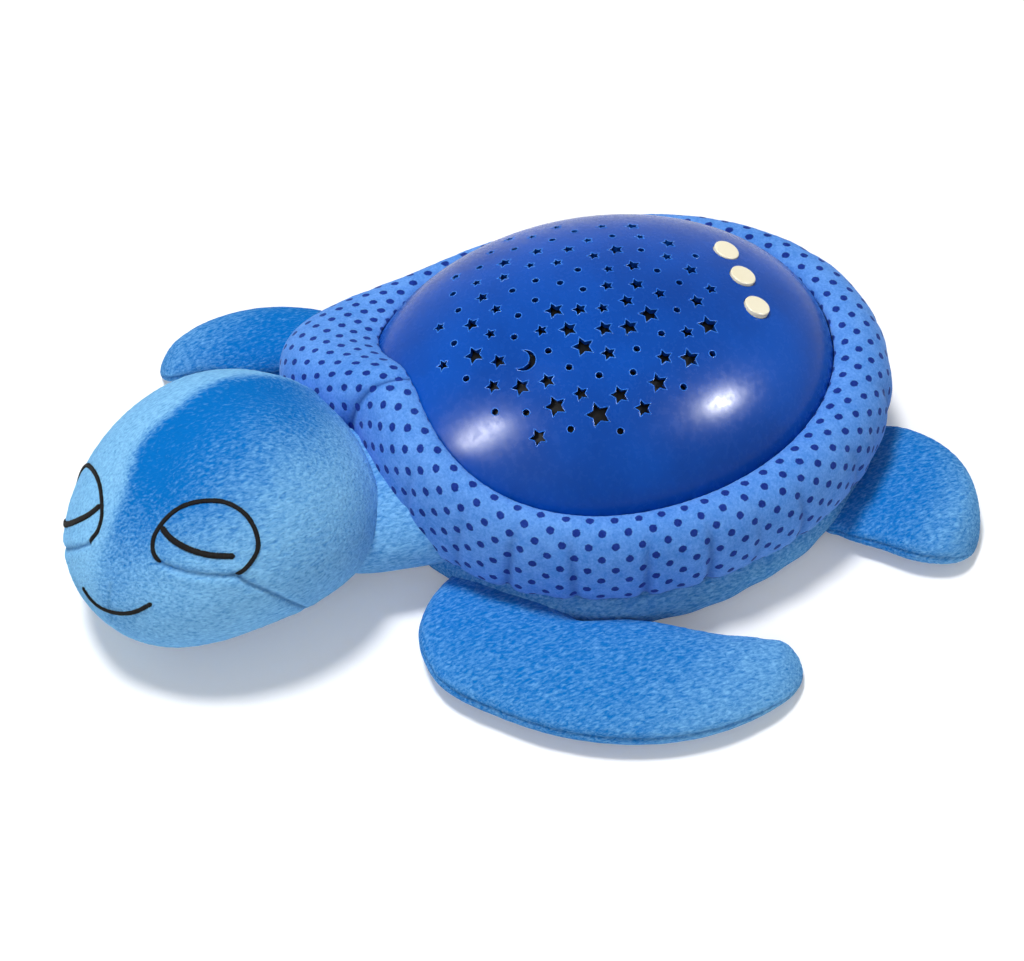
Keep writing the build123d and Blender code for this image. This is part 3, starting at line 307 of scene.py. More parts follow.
def grid_object(name, points, wrap_rows=False, uv=None, floats=None):
    """Mesh of a grid of points whose columns close round: a quad for each cell, its rows wrapped too or its ends
    capped, turned outwards and smooth."""
    rows, columns = points.shape[:2]
    index = np.arange(rows * columns).reshape(rows, columns)
    ends = [index[0][::-1], index[-1]]
    index = np.concatenate([index, index[:, :1]], axis=1)
    if wrap_rows:
        index = np.concatenate([index, index[:1]], axis=0)
    quads = np.stack([index[:-1, :-1], index[:-1, 1:], index[1:, 1:], index[1:, :-1]], axis=-1).reshape(-1, 4)
    flat = points.reshape(-1, 3)
    corners = flat[quads] - flat.mean(axis=0)
    volume = np.sum(np.cross(corners[:, 0], corners[:, 1]) * corners[:, 2])
    volume += np.sum(np.cross(corners[:, 0], corners[:, 2]) * corners[:, 3])
    inside_out = volume < 0
    if inside_out:
        quads = quads[:, ::-1]
        ends = [end[::-1] for end in ends]
    faces = quads.tolist()
    if not wrap_rows:
        faces += [end.tolist() for end in ends]
    mesh = bpy.data.meshes.new(name)
    mesh.from_pydata(flat.tolist(), [], faces)
    mesh.polygons.foreach_set("use_smooth", np.ones(len(faces), dtype=bool))
    if uv is not None:
        grid = np.stack([uv[:-1, :-1], uv[:-1, 1:], uv[1:, 1:], uv[1:, :-1]], axis=2).reshape(-1, 4, 2)
        if inside_out:
            grid = grid[:, ::-1]
        layer = mesh.uv_layers.new(name="cloth")
        layer.data.foreach_set("uv", np.ascontiguousarray(grid, dtype=np.float32).ravel())
    for key, values in (floats or {}).items():
        attribute = mesh.attributes.new(key, "FLOAT", "POINT")
        attribute.data.foreach_set("value", np.ascontiguousarray(values, dtype=np.float32).ravel())
    mesh.update()
    mesh.validate()
    made = bpy.data.objects.new(name, mesh)
    bpy.context.scene.collection.objects.link(made)
    return made


def dress(piece, material, slot, body, *nodes):
    """Gives a new piece its finish, its body and the frame nodes that it stands for."""
    piece.data.materials.append(material)
    if body:
        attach(piece, body)
    if nodes:
        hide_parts(*nodes)


def node(tree, kind, inputs=None, **settings):
    """New shader node with its settings, and with values or links on its inputs."""
    made = tree.nodes.new(kind)
    for key, value in settings.items():
        setattr(made, key, value)
    for key, value in (inputs or {}).items():
        if isinstance(value, bpy.types.NodeSocket):
            tree.links.new(value, made.inputs[key])
        else:
            made.inputs[key].default_value = value
    return made


def maths(tree, operation, *values):
    """One step of arithmetic in a shader."""
    return node(tree, "ShaderNodeMath", dict(enumerate(values)), operation=operation).outputs[0]


def mixed(tree, share, first, second):
    """Colour between two colours."""
    return node(tree, "ShaderNodeMix", {0: share, 6: first, 7: second}, data_type="RGBA").outputs[2]


def ramp(tree, value, low, high, start=0.0, end=1.0):
    """Smooth change from start to end while a value goes from low to high."""
    inputs = {"Value": value, "From Min": low, "From Max": high, "To Min": start, "To Max": end}
    return node(tree, "ShaderNodeMapRange", inputs, interpolation_type="SMOOTHSTEP").outputs[0]


def noise(tree, place, scale, detail=2.0, roughness=0.55, distortion=0.0):
    """Cloudy pattern of a scale per metre."""
    inputs = {"Vector": place, "Scale": scale, "Detail": detail, "Roughness": roughness, "Distortion": distortion}
    return node(tree, "ShaderNodeTexNoise", inputs).outputs["Fac"]


def object_place(tree):
    """Place on a piece in its own frame."""
    return node(tree, "ShaderNodeTexCoord").outputs["Object"]


def attribute(tree, name):
    """Value that the mesh carries under a name."""
    return node(tree, "ShaderNodeAttribute", attribute_name=name).outputs["Fac"]


def swayed(tree, pattern, amount, base):
    """Base value moved up and down by a pattern of 0 to 1."""
    return maths(tree, "MULTIPLY_ADD", maths(tree, "SUBTRACT", pattern, 0.5), amount, base)


def start_material(name):
    """Empty finish: its material, node tree and main shader."""
    material = bpy.data.materials.new(name)
    material.use_nodes = True
    tree = material.node_tree
    return material, tree, tree.nodes["Principled BSDF"]


def set_inputs(tree, shader, **values):
    """Sets sockets of the main shader, written with underscores, to values or links."""
    for key, value in values.items():
        socket = shader.inputs[key.replace("_", " ")]
        if isinstance(value, bpy.types.NodeSocket):
            tree.links.new(value, socket)
        else:
            socket.default_value = value


def bumped(tree, height, strength, distance):
    """Normal that follows a height pattern."""
    inputs = {"Height": height, "Strength": strength, "Distance": distance}
    return node(tree, "ShaderNodeBump", inputs).outputs["Normal"]


def plush_finish(settings):
    """Short pile: strokes of about a millimetre, drifts of tone, painted light and shade, painted shade in seams, and
    sheen.
    """
    material, tree, shader = start_material("plush_pile")
    place = object_place(tree)
    combed = node(tree, "ShaderNodeMapping", {"Vector": place, "Rotation": (0.5, 0.3, 0.6), "Scale": (1.0, 0.38, 1.0)})
    strokes = noise(tree, combed.outputs[0], 1200.0, 2.5, 0.6, 0.4)
    tufts = noise(tree, place, 260.0, 3.0, 0.6, 0.4)
    drift = noise(tree, place, 26.0, 2.0)
    # painted light and shade from the mesh: lighter and darker levels that stand in for how light falls on each piece
    painted_shading = attribute(tree, "painted_shading")
    tone = swayed(tree, strokes, 1.3, painted_shading)
    tone = swayed(tree, tufts, 0.14, tone)
    tone = swayed(tree, drift, 0.25, tone)
    light = ramp(tree, tone, -0.1, 1.1)
    colour = mixed(tree, light, settings.dark, settings.light)
    # painted shade deep in seams and grooves
    painted_crease_shade = attribute(tree, "painted_crease_shade")
    colour = mixed(tree, painted_crease_shade, colour, settings.painted_crease_shade)
    relief = maths(tree, "MULTIPLY_ADD", tufts, 0.3, strokes)
    normal = bumped(tree, relief, 0.6, settings.pile)
    set_inputs(tree, shader, Base_Color=colour, Normal=normal, Roughness=0.95, Specular_IOR_Level=0.02,
               Sheen_Weight=0.22, Sheen_Roughness=0.35, Sheen_Tint=settings.sheen)
    return material


def dotted_cloth_finish(settings, along):
    """Velour with round dots on a staggered lattice that follows the cloth's own lengths, along its rows and across."""
    material, tree, shader = start_material("dotted_velour")
    place = object_place(tree)
    cloth = node(tree, "ShaderNodeUVMap", uv_map="cloth").outputs[0]
    parts = node(tree, "ShaderNodeSeparateXYZ", {0: cloth})
    stretch = attribute(tree, "stretch")
    across = settings.rows

    def lattice(shift):
        first = maths(tree, "FRACT", maths(tree, "ADD", maths(tree, "DIVIDE", parts.outputs[0], along), shift))
        second = maths(tree, "FRACT", maths(tree, "ADD", maths(tree, "DIVIDE", parts.outputs[1], across), shift))
        first = maths(tree, "MULTIPLY", maths(tree, "SUBTRACT", first, 0.5), along)
        first = maths(tree, "MULTIPLY", first, stretch)
        second = maths(tree, "MULTIPLY", maths(tree, "SUBTRACT", second, 0.5), across)
        square = maths(tree, "MULTIPLY", first, first)
        return maths(tree, "SQRT", maths(tree, "MULTIPLY_ADD", second, second, square))

    strokes = noise(tree, place, 1150.0, 2.0, 0.6, 0.4)
    tufts = noise(tree, place, 240.0, 3.0, 0.6)
    drift = noise(tree, place, 30.0, 2.0)
    gap = maths(tree, "MINIMUM", lattice(0.0), lattice(0.5))
    gap = swayed(tree, strokes, 0.5 * MM, gap)
    gap = swayed(tree, tufts, 0.5 * MM, gap)
    dot = ramp(tree, gap, settings.dot_radius - 0.16 * MM, settings.dot_radius + 0.16 * MM, 1.0, 0.0)
    tone = swayed(tree, strokes, 0.9, 0.5)
    tone = swayed(tree, tufts, 0.55, tone)
    tone = swayed(tree, drift, 0.45, tone)
    light = ramp(tree, tone, 0.0, 1.0)
    ground = mixed(tree, light, settings.dark, settings.light)
    # painted shade deep in the gathers and along the front seam
    painted_crease_shade = attribute(tree, "painted_crease_shade")
    ground = mixed(tree, painted_crease_shade, ground, settings.painted_crease_shade)
    ink = mixed(tree, light, settings.dot_dark, settings.dot_light)
    colour = mixed(tree, dot, ground, ink)
    normal = bumped(tree, maths(tree, "MULTIPLY_ADD", tufts, 0.6, strokes), 0.4, 0.5 * MM)
    set_inputs(tree, shader, Base_Color=colour, Normal=normal, Roughness=0.92, Specular_IOR_Level=0.03,
               Sheen_Weight=0.2, Sheen_Roughness=0.4, Sheen_Tint=settings.sheen)
    return material


def thread_finish(settings):
    """Satin stitch: strands laid across the line, with a soft gloss and small changes of tone."""
    material, tree, shader = start_material("embroidery_thread")
    place = object_place(tree)
    length = attribute(tree, "length")
    strand = maths(tree, "SINE", maths(tree, "MULTIPLY", length, 2 * np.pi / (0.42 * MM)))
    cloud = noise(tree, place, 900.0, 2.0)
    share = maths(tree, "MULTIPLY_ADD", strand, 0.3, cloud)
    colour = mixed(tree, ramp(tree, share, 0.1, 1.1), settings.dark, settings.light)
    normal = bumped(tree, maths(tree, "MULTIPLY_ADD", cloud, 0.6, strand), 0.5, 0.1 * MM)
    set_inputs(tree, shader, Base_Color=colour, Normal=normal, Roughness=0.7, Specular_IOR_Level=0.06,
               Sheen_Weight=0.03, Sheen_Roughness=0.4)
    return material


def hard_finish(name, dark, light, roughness, metallic, grain, depth, coat=0.0, specular=0.4):
    """Moulded or metal finish: two close tones in soft clouds, and a fine grain in relief and in gloss."""
    material, tree, shader = start_material(name)
    place = object_place(tree)
    fine = noise(tree, place, grain, 3.0, 0.6)
    cloud = noise(tree, place, 22.0, 3.0, 0.5)
    colour = mixed(tree, ramp(tree, maths(tree, "MULTIPLY_ADD", fine, 0.1, cloud), 0.3, 0.8), dark, light)
    gloss = ramp(tree, fine, 0.2, 0.8, max(roughness - 0.05, 0.02), roughness + 0.05)
    set_inputs(tree, shader, Base_Color=colour, Roughness=gloss, Metallic=metallic, Coat_Weight=coat,
               Coat_Roughness=0.08, Specular_IOR_Level=specular, Normal=bumped(tree, fine, 0.25, depth))
    return material


def cell_finish():
    """Wrapped cell: a dark sleeve with a copper-toned band near one end and bare ends, by place along the cell."""
    material, tree, shader = start_material("cell_sleeve")
    place = object_place(tree)
    parts = node(tree, "ShaderNodeSeparateXYZ", {0: place})
    side = maths(tree, "ABSOLUTE", parts.outputs[0])
    band = ramp(tree, side, 13.0 * MM, 13.4 * MM)
    bare = ramp(tree, side, 21.6 * MM, 22.0 * MM)
    fine = noise(tree, place, 1500.0, 2.0)
    sleeve = mixed(tree, fine, linear(38, 38, 42), linear(56, 56, 60))
    colour = mixed(tree, band, sleeve, linear(176, 112, 62))
    colour = mixed(tree, bare, colour, linear(196, 196, 198))
    set_inputs(tree, shader, Base_Color=colour, Metallic=maths(tree, "MAXIMUM", band, bare), Roughness=0.34,
               Normal=bumped(tree, fine, 0.15, 0.05 * MM))
    return material


def lens_finish(name, tint):
    """Tinted clear lens of a lamp with small flow marks."""
    material, tree, shader = start_material(name)
    place = object_place(tree)
    cloud = noise(tree, place, 320.0, 2.0)
    deep = tuple(0.55 * value for value in tint[:3]) + (1.0,)
    set_inputs(tree, shader, Base_Color=mixed(tree, cloud, deep, tint), Roughness=0.12, Transmission_Weight=0.55,
               IOR=1.5, Normal=bumped(tree, cloud, 0.1, 0.1 * MM))
    return material


def star_outline():
    """Star of radius one with its waist at half: ten corners on two circles in turn, with six points on each edge."""
    turn = np.pi / 2 + np.pi * np.arange(10) / 5
    reach = np.where(np.arange(10) % 2 == 0, 1.0, 0.5)
    corners = np.stack([reach * np.cos(turn), reach * np.sin(turn)], -1)
    share = np.linspace(0, 1, 6, endpoint=False)[:, None]
    return (corners[:, None] + share * (np.roll(corners, -1, 0) - corners)[:, None]).reshape(-1, 2)


def moon_outline():
    """Crescent of radius one: the outer arc from horn to horn, and back along the bite's arc, thirty points each."""
    shift, bite = 0.45, 0.85
    cosine = (1 + shift ** 2 - bite ** 2) / (2 * shift)
    outer = np.arccos(cosine)
    inner = np.arctan2(np.sin(outer), cosine - shift)
    round_out = np.linspace(outer, 2 * np.pi - outer, 31)[:-1]
    round_in = np.linspace(2 * np.pi - inner, inner, 31)[:-1]
    x = np.concatenate([np.cos(round_out), shift + bite * np.cos(round_in)])
    y = np.concatenate([np.sin(round_out), bite * np.sin(round_in)])
    turn = np.pi - MOON_TURN
    return np.stack([x * np.cos(turn) - y * np.sin(turn), x * np.sin(turn) + y * np.cos(turn)], -1)


def hole_edges():
    """Thin rounded beads along the edges of all holes: sunflower spiral of outlines set square to the dome, dropped
    on it, with a small oval section carried round each. Returns points by hole, place along the edge and section."""
    index = np.arange(FIELD_COUNT)
    reach = FIELD_RADIUS * np.sqrt((index + 0.5) / FIELD_COUNT)
    x = reach * np.cos(index * GOLDEN_TURN)
    y = FIELD_MIDDLE + reach * np.sin(index * GOLDEN_TURN)
    axes = np.array((DOME_HALF_WIDTH, DOME_HALF_LENGTH, DOME_RISE))
    middle = np.stack([x, y, DOME_RISE * np.sqrt(1 - (x / axes[0]) ** 2 - (y / axes[1]) ** 2)], -1)
    outward = unit(middle / axes ** 2)
    first = unit(np.cross((-1.0, 0.0, 0.0), outward))
    second = np.cross(outward, first)
    share = np.array(STAR_SIZE_SHARES)[index % len(STAR_SIZE_SHARES)]
    growth = SMALL_SIDE_SHARE + (1 - SMALL_SIDE_SHARE) * (FIELD_RADIUS + x) / (2 * FIELD_RADIUS)
    radius = np.where(share > 0, STAR_RADIUS * share * growth, DOT_RADIUS)
    round_turn = full_turn(60)
    dot = np.stack([np.cos(round_turn), np.sin(round_turn)], -1)
    outline = np.where((share > 0)[:, None, None], star_outline(), dot)
    outline[MOON_INDEX] = moon_outline()
    radius[MOON_INDEX] = MOON_RADIUS
    flat = outline * radius[:, None, None]
    edge = middle[:, None] + flat[..., :1] * first[:, None] + flat[..., 1:] * second[:, None]
    way = np.broadcast_to(outward[:, None], edge.shape)
    square = np.sum(way ** 2 / axes ** 2, -1)
    cross = np.sum(edge * way / axes ** 2, -1)
    rest = np.sum(edge ** 2 / axes ** 2, -1) - 1
    edge = edge - way * ((cross - np.sqrt(cross ** 2 - square * rest)) / square)[..., None]
    upward = unit(edge / axes ** 2)
    tangent = unit(np.roll(edge, -1, 1) - np.roll(edge, 1, 1))
    aside = np.cross(upward, tangent)
    around = full_turn(8)
    bead = edge[:, :, None] + aside[:, :, None] * (BEAD_HALF_WIDTH * np.cos(around))[:, None]
    bead = bead + upward[:, :, None] * (BEAD_HALF_HEIGHT * np.sin(around))[:, None]
    return bead + np.array((0, 0, DOME_SEAT))


def rim_forms(turn):
    """Reach, crest, tuck and waist of the rim at a turn in degrees, left positive: a base size, drawn in and lifted at
    the front seam, fuller at the rear, with a lobe right of the seam and a thinner right side. Bell bumps add it up."""
    side = np.abs(turn)
    base = RIM_REACH - RIM_DRAWN_IN * swell(side, 0, 45)
    left = base + RIM_REAR * swell(side, 165, 50)
    right = base + RIM_REAR * swell(180, 165, 50) * swell(side, 180, 30)
    right = right + RIM_LOBE * swell(side, 26, 20) - RIM_RIGHT_THIN * swell(side, 92, 45)
    left_crest = RIM_CREST + RIM_CREST_LIFT * swell(side, 0, 42)
    right_crest = RIM_CREST + RIM_CREST_LIFT * swell(side, 0, 24) - RIM_RIGHT_LOW * swell(side, 92, 45)
    on_left = np.where(side > 90, turn > 0, ease(turn / 5 + 0.5))
    reach = on_left * left + (1 - on_left) * right
    crest = on_left * left_crest + (1 - on_left) * right_crest
    tuck = RIM_TUCK + RIM_FRONT_TUCK * swell(side, 0, 45)
    waist = RIM_WAIST + RIM_WAIST_LIFT * swell(side, 0, 32)
    return reach, crest, tuck, waist


def rim_surface(columns=920):
    """Closed section carried round the dome: a roll from the dome up, a full shoulder out to the waist, a lower
    quarter round to the seam, in under the dome's deck and up along the dome. Returns points and turns."""
    turn = -180 + 360 * np.arange(columns) / columns
    way = np.radians(turn - 90)
    wall = ellipse_reach(way, DOME_HALF_WIDTH, DOME_HALF_LENGTH, DOME_HALF_LENGTH)
    reach, crest, tuck, waist = rim_forms(turn)
    top = DOME_SEAT + crest
    outer = wall + reach
    contact = wall * np.sqrt(1 - (crest / DOME_RISE) ** 2) + CLOTH_GAP
    foot = outer - tuck
    roll = 0.3 * (outer - contact)
    apex = contact + roll
    quarter = np.linspace(0, np.pi / 2, ROLL_ROWS)[:, None]
    parts = [np.stack([apex - roll * np.cos(quarter), top + RIM_ROLL * np.sin(quarter)], -1)]
    quarter = np.linspace(0, np.pi / 2, SHOULDER_ROWS)[1:, None]
    power = 0.9
    parts.append(np.stack([apex + (outer - apex) * np.sin(quarter) ** power,
                           waist + (top + RIM_ROLL - waist) * np.cos(quarter) ** power], -1))
    quarter = np.linspace(0, np.pi / 2, LOWER_ROWS)[1:, None]
    parts.append(np.stack([foot + tuck * np.cos(quarter) ** power,
                           waist - (waist - SEAM_HEIGHT) * np.sin(quarter) ** power], -1))
    under = np.minimum(foot - 1.5 * MM, wall - 9 * MM)
    deck = np.full_like(wall, DECK_HEIGHT)
    seam = np.full_like(wall, SEAM_HEIGHT)
    parts.append(np.stack([np.stack([under, under, wall + CLOTH_GAP]), np.stack([seam, deck, deck])], -1))
    climb = np.linspace(0, 1, 7)[:-1, None]
    lift = crest * climb
    parts.append(np.stack([wall * np.sqrt(1 - (lift / DOME_RISE) ** 2) + CLOTH_GAP, DOME_SEAT + lift], -1))
    section = np.concatenate(parts)
    points = np.stack([section[..., 0] * np.cos(way), section[..., 0] * np.sin(way), section[..., 1]], -1)
    return points, turn


def head_station(along):
    """Half width, half height and middle height of the head at shares of its length. The squares of the halves run
    smoothly through the stations, so both ends close round."""
    table = np.array(HEAD_SHARES)
    wide = np.sqrt(np.maximum(smooth_through(table[:, 0], table[:, 1] ** 2, along), 1e-9)) * HEAD_SIZE[1] / 2
    tall = np.sqrt(np.maximum(smooth_through(table[:, 0], table[:, 2] ** 2, along), 1e-9)) * HEAD_SIZE[2] / 2
    middle = smooth_through(table[:, 0], table[:, 3], along) * HEAD_SIZE[2] + HEAD_LIFT
    return wide, tall, middle


def head_direction(angles):
    """Unit directions from the head's middle for pairs of degrees: left of the nose, and up."""
    left, up = np.radians(np.asarray(angles, float)).T
    flat = np.cos(up)[:, None] * (np.cos(left)[:, None] * HEAD_FORWARD + np.sin(left)[:, None] * HEAD_LEFT)
    return flat + np.sin(up)[:, None] * HEAD_UP


def head_at(directions):
    """Points where rays from the head's middle leave its plain form, found by halving the distance again and again."""
    low = np.zeros(len(directions))
    high = np.full(len(directions), 0.1)
    for _ in range(40):
        middle = (low + high) / 2
        local = HEAD_CENTRE + directions * middle[:, None] - HEAD_BACK
        along = local @ HEAD_FORWARD / HEAD_SIZE[0]
        wide, tall, lift = head_station(along)
        inside = np.hypot(local @ HEAD_LEFT / wide, (local[:, 2] - lift) / tall) < 1
        inside &= (along > HEAD_SHARES[0][0]) & (along < HEAD_SHARES[-1][0])
        low = np.where(inside, middle, low)
        high = np.where(inside, high, middle)
    return HEAD_CENTRE + directions * low[:, None]


def line_directions(angles, count):
    """Directions evenly along a smooth line through given pairs of degrees on the head."""
    directions = head_direction(angles)
    steps = run_lengths(directions)
    at = np.linspace(0, steps[-1], count)
    curve = np.stack([smooth_through(steps, directions[:, axis], at) for axis in range(3)], -1)
    return unit(curve)


def mirrored(directions):
    """Directions on the other half of the face: mirrored in the face's middle plane, which is turned and rolled, then
    turned a little about the other eye's middle."""
    left = np.cos(FACE_TURN) * HEAD_LEFT - np.sin(FACE_TURN) * HEAD_FORWARD
    across = np.cos(FACE_ROLL) * left + np.sin(FACE_ROLL) * HEAD_UP
    middle, = head_direction([EYE_MIDDLE])
    middle = middle - 2 * (middle @ across) * across
    flipped = directions - 2 * (directions @ across)[:, None] * across
    along = (flipped @ middle)[:, None] * middle
    return along + np.cos(EYE_TWIST) * (flipped - along) + np.sin(EYE_TWIST) * np.cross(middle, flipped)


def head_relief(points):
    """Relief, painted light and shade, and painted seam shade of the head: a soft crown ridge with a hollow on its
    left, and grooves along the seams. Each is a bell of the distance to its line."""
    ridge = head_at(line_directions(RIDGE, 60))
    gap, nearest, heading = distance_to_line(points, ridge)
    outward = points - HEAD_CENTRE
    side = np.sum(np.cross(heading, points - nearest) * outward, axis=-1)
    signed = gap * np.where(side > 0, 1, -1)
    table = np.array(RIDGE_STRENGTHS)
    height = smooth_through(table[:, 0], table[:, 1], np.clip(points[..., 2], 0, table[-1, 0]))
    spread = 8 * MM + 28 * MM * ease((points[..., 2] - 42 * MM) / (32 * MM))
    relief = height * (1.1 * MM * swell(signed, -4 * MM, 5 * MM) - 1.6 * MM * swell(signed, 7 * MM, 8 * MM))
    # painted shade in the hollow left of the ridge and narrowly along it, strongest high on the crown, and painted
    # light a little way to its right
    hollow = np.where(signed > 0, np.exp(-(signed / spread) ** 2), swell(signed, 0, 4 * MM))
    painted_shading = 0.62 - 0.72 * height * hollow
    painted_shading += 0.08 * np.where(signed < 0, ease(-signed / (9 * MM)), 0)
    # painted shade along the eye and cheek seams and down the ridge's lower end
    painted_crease_shade = np.zeros(points.shape[:-1])
    for angles in (EYE_SEAM, CHEEK_SEAM):
        line = line_directions(angles, 24)
        for directions in (line, mirrored(line)):
            near = distance_to_line(points, head_at(directions))[0]
            relief = relief - 0.8 * MM * swell(near, 0, 1.0 * MM) + 0.25 * MM * swell(near, 3 * MM, 2 * MM)
            painted_crease_shade = np.maximum(painted_crease_shade, 0.6 * swell(near, 0, 0.75 * MM))
    lower = head_at(line_directions(((17, 8), (19, -8)), 8))
    painted_crease_shade = np.maximum(painted_crease_shade, 0.18 * swell(distance_to_line(points, lower)[0], 0, 0.8 * MM))
    return relief, painted_shading, painted_crease_shade


def head_surface(rows=270, columns=350):
    """Ovals along the head's axis, spaced closer at both ends, pushed out by the relief. Returns points and painted
    light and shade.
    """
    first, last = HEAD_SHARES[0][0], HEAD_SHARES[-1][0]
    along = first + (last - first) * (1 - np.cos(np.linspace(0.004, 0.996, rows) * np.pi)) / 2
    around = full_turn(columns)
    wide, tall, middle = head_station(along)
    points = (HEAD_BACK + HEAD_FORWARD * (along * HEAD_SIZE[0])[:, None, None]
              + HEAD_LEFT * (wide[:, None] * np.cos(around))[..., None]
              + HEAD_UP * (middle[:, None] + tall[:, None] * np.sin(around))[..., None])
    relief, painted_shading, painted_crease_shade = head_relief(points)
    relief = relief + pile_noise(relief.shape, 0.05 * MM, 11)
    points = points + outward_normals(points) * relief[..., None]
    points[..., 2] = np.maximum(points[..., 2], HEAD_LIFT)
    return points, painted_shading, painted_crease_shade


def thread_line(name, directions, width, height):
    """Raised satin stitch along a line on the head: an oval section with uneven edges carried along the line."""
    base = head_at(directions)
    tangent = unit(np.gradient(base, axis=0))
    spread = 0.01
    sideways = unit(np.cross(directions, tangent))
    across = unit(head_at(unit(directions + spread * sideways)) - base)
    upward = np.cross(tangent, across)
    upward *= np.where(np.sum(upward * directions, axis=1, keepdims=True) < 0, -1, 1)
    relief = head_relief(base)[0]
    base = base + upward * relief[:, None]
    length = run_lengths(base)
    end = np.minimum(length, length[-1] - length)
    taper = np.sqrt(np.clip(end / (0.5 * width), 0.02, 1))
    edge = np.random.default_rng(5).uniform(0.9, 1.1, size=len(length))
    strand = 1 + 0.07 * np.sin(2 * np.pi * length / (0.84 * MM))
    around = full_turn(14)
    half = (0.5 * width * taper * edge * strand)[:, None]
    tall = (height * taper)[:, None]
    points = base[:, None] + across[:, None] * (half * np.cos(around))[..., None]
    points = points + upward[:, None] * (tall * np.sin(around) + 0.12 * MM)[..., None]
    lengths = np.repeat(length[:, None], 14, axis=1)
    return grid_object(name, points, floats={"length": lengths})


def belly_surface(columns=420):
    """Ring section carried round an oval: outer side drawn in at its seams, flat below, open in the middle for the
    hard base. Returns points and painted light and shade."""
    turn = full_turn(columns)
    reach = ellipse_reach(turn, BELLY_HALF_WIDTH, BELLY_FRONT, BELLY_REAR)
    table = np.array(BELLY_SHARES)
    share = np.linspace(0, 1, 34)
    lift = FLOOR_GAP + share * (SEAM_HEIGHT - FLOOR_GAP)
    tuck = smooth_through(table[:, 0], table[:, 1], share) * BELLY_TUCK
    outer = reach + 0.9 * MM - tuck[:, None] + 0.7 * MM * np.sin(np.pi * share)[:, None]
    wrinkle = 0.5 * MM * np.sin(9 * turn + 2) * np.sin(23 * turn) * np.sin(np.pi * share)[:, None]
    outer = outer + wrinkle
    inner = ellipse_reach(turn, OPENING_HALF_WIDTH, OPENING_HALF_LENGTH, OPENING_HALF_LENGTH)
    heights = np.concatenate([np.broadcast_to(lift[:, None], outer.shape),
                              np.full((1, columns), SEAM_HEIGHT), np.full((1, columns), FLOOR_GAP)])
    distance = np.concatenate([outer, inner[None], inner[None]])
    points = np.stack([distance * np.cos(turn), distance * np.sin(turn), heights], -1)
    # painted light and shade: a set level, lighter towards the belly's left side and a little to the rear
    painted_shading = np.full(points.shape[:2], 0.3) + 0.1 * np.cos(turn - 0.4)
    return points, painted_shading


def neck_surface(rows=60, columns=220):
    """Ovals from inside the body to inside the head, a little waisted, with a groove at the head's seam."""
    table = np.array(NECK_SHARES)
    along = np.linspace(table[0, 0], table[-1, 0], rows)
    size = smooth_through(table[:, 0], table[:, 1], along)
    around = full_turn(columns)
    centre = NECK_START + along[:, None] * NECK_RUN
    half_wide = size * NECK_HALF_WIDTH
    half_tall = size * NECK_HALF_HEIGHT
    points = np.stack([centre[:, :1] + half_wide[:, None] * np.cos(around),
                       np.repeat(centre[:, 1:2], columns, axis=1),
                       centre[:, 2:] + half_tall[:, None] * np.sin(around)], -1)
    relief = 0.35 * MM * np.sin(5 * around + 1) * swell(along, 0.9, 0.5)[:, None]
    points = points + outward_normals(points) * relief[..., None]
    # painted light and shade: a set level, a little darker on top
    painted_shading = np.full((rows, columns), 0.5) - 0.05 * np.sin(around)
    return points, painted_shading


def flipper_surface(root, heading, length, thickness, shares, sweep, rows=190, columns=220):
    """Full oval sections between a leading and a trailing edge, both ends closing round. Middle, span and the squares
    of the halves run smoothly through the stations. A sewn edge seam runs a little above the widest line."""
    table = np.array(shares)
    outward = np.array((np.cos(np.radians(heading)), np.sin(np.radians(heading))))
    sideways = np.array((-outward[1], outward[0])) * sweep
    lead = table[:, :1] * length * outward + table[:, 1:2] * length * sideways
    trail = table[:, 2:3] * length * outward + table[:, 3:4] * length * sideways
    middle = (lead + trail) / 2
    span = (lead - trail) / 2
    place = run_lengths(middle)
    place /= place[-1]
    at = (1 - np.cos(np.linspace(0.006, 0.994, rows) * np.pi)) / 2
    half = np.linalg.norm(span, axis=1)
    half[0] = half[-1] = 0
    angle = np.unwrap(np.arctan2(span[:, 1], span[:, 0]))
    half_at = np.sqrt(np.maximum(smooth_through(place, half ** 2, at), 1e-8))
    thick = table[:, 4] * thickness / 2
    thick_at = np.sqrt(np.maximum(smooth_through(place, thick ** 2, at), 1e-8))
    angle_at = smooth_through(place, angle, at)
    centre = np.stack([smooth_through(place, middle[:, axis], at) for axis in range(2)], -1) + root[:2]
    lift = 0.4 * MM + thickness * (0.5 + smooth_through(place, table[:, 4], at)) / 3
    around = full_turn(columns)
    power = 0.86
    wide = np.sign(np.cos(around)) * np.abs(np.cos(around)) ** power
    high = np.sign(np.sin(around)) * np.abs(np.sin(around)) ** power
    direction = np.stack([np.cos(angle_at), np.sin(angle_at)], -1)
    flat = centre[:, None] + direction[:, None] * (half_at[:, None] * wide)[..., None]
    points = np.concatenate([flat, (lift[:, None] + thick_at[:, None] * high)[..., None]], -1)
    normals = outward_normals(points)
    seam = np.degrees(np.arcsin(np.clip(high, -1, 1)))
    ridge = swell(seam, 9, 5)
    pucker = 0.22 * MM * np.sin(2 * np.pi * np.cumsum(np.gradient(at)) * length / (4.6 * MM))[:, None]
    ends = np.sin(np.pi * at)[:, None] ** 0.3
    relief = (-0.75 * MM + pucker) * ridge * ends + 0.35 * MM * swell(seam, 26, 10) * ends
    relief = relief + pile_noise(relief.shape, 0.05 * MM, 21)
    points = points + normals * relief[..., None]
    points[..., 2] = np.maximum(points[..., 2], 0.35 * MM)
    # painted shade along the groove of the sewn edge seam
    painted_crease_shade = 0.35 * ridge * ends
    return points, at, around, np.broadcast_to(painted_crease_shade, relief.shape)


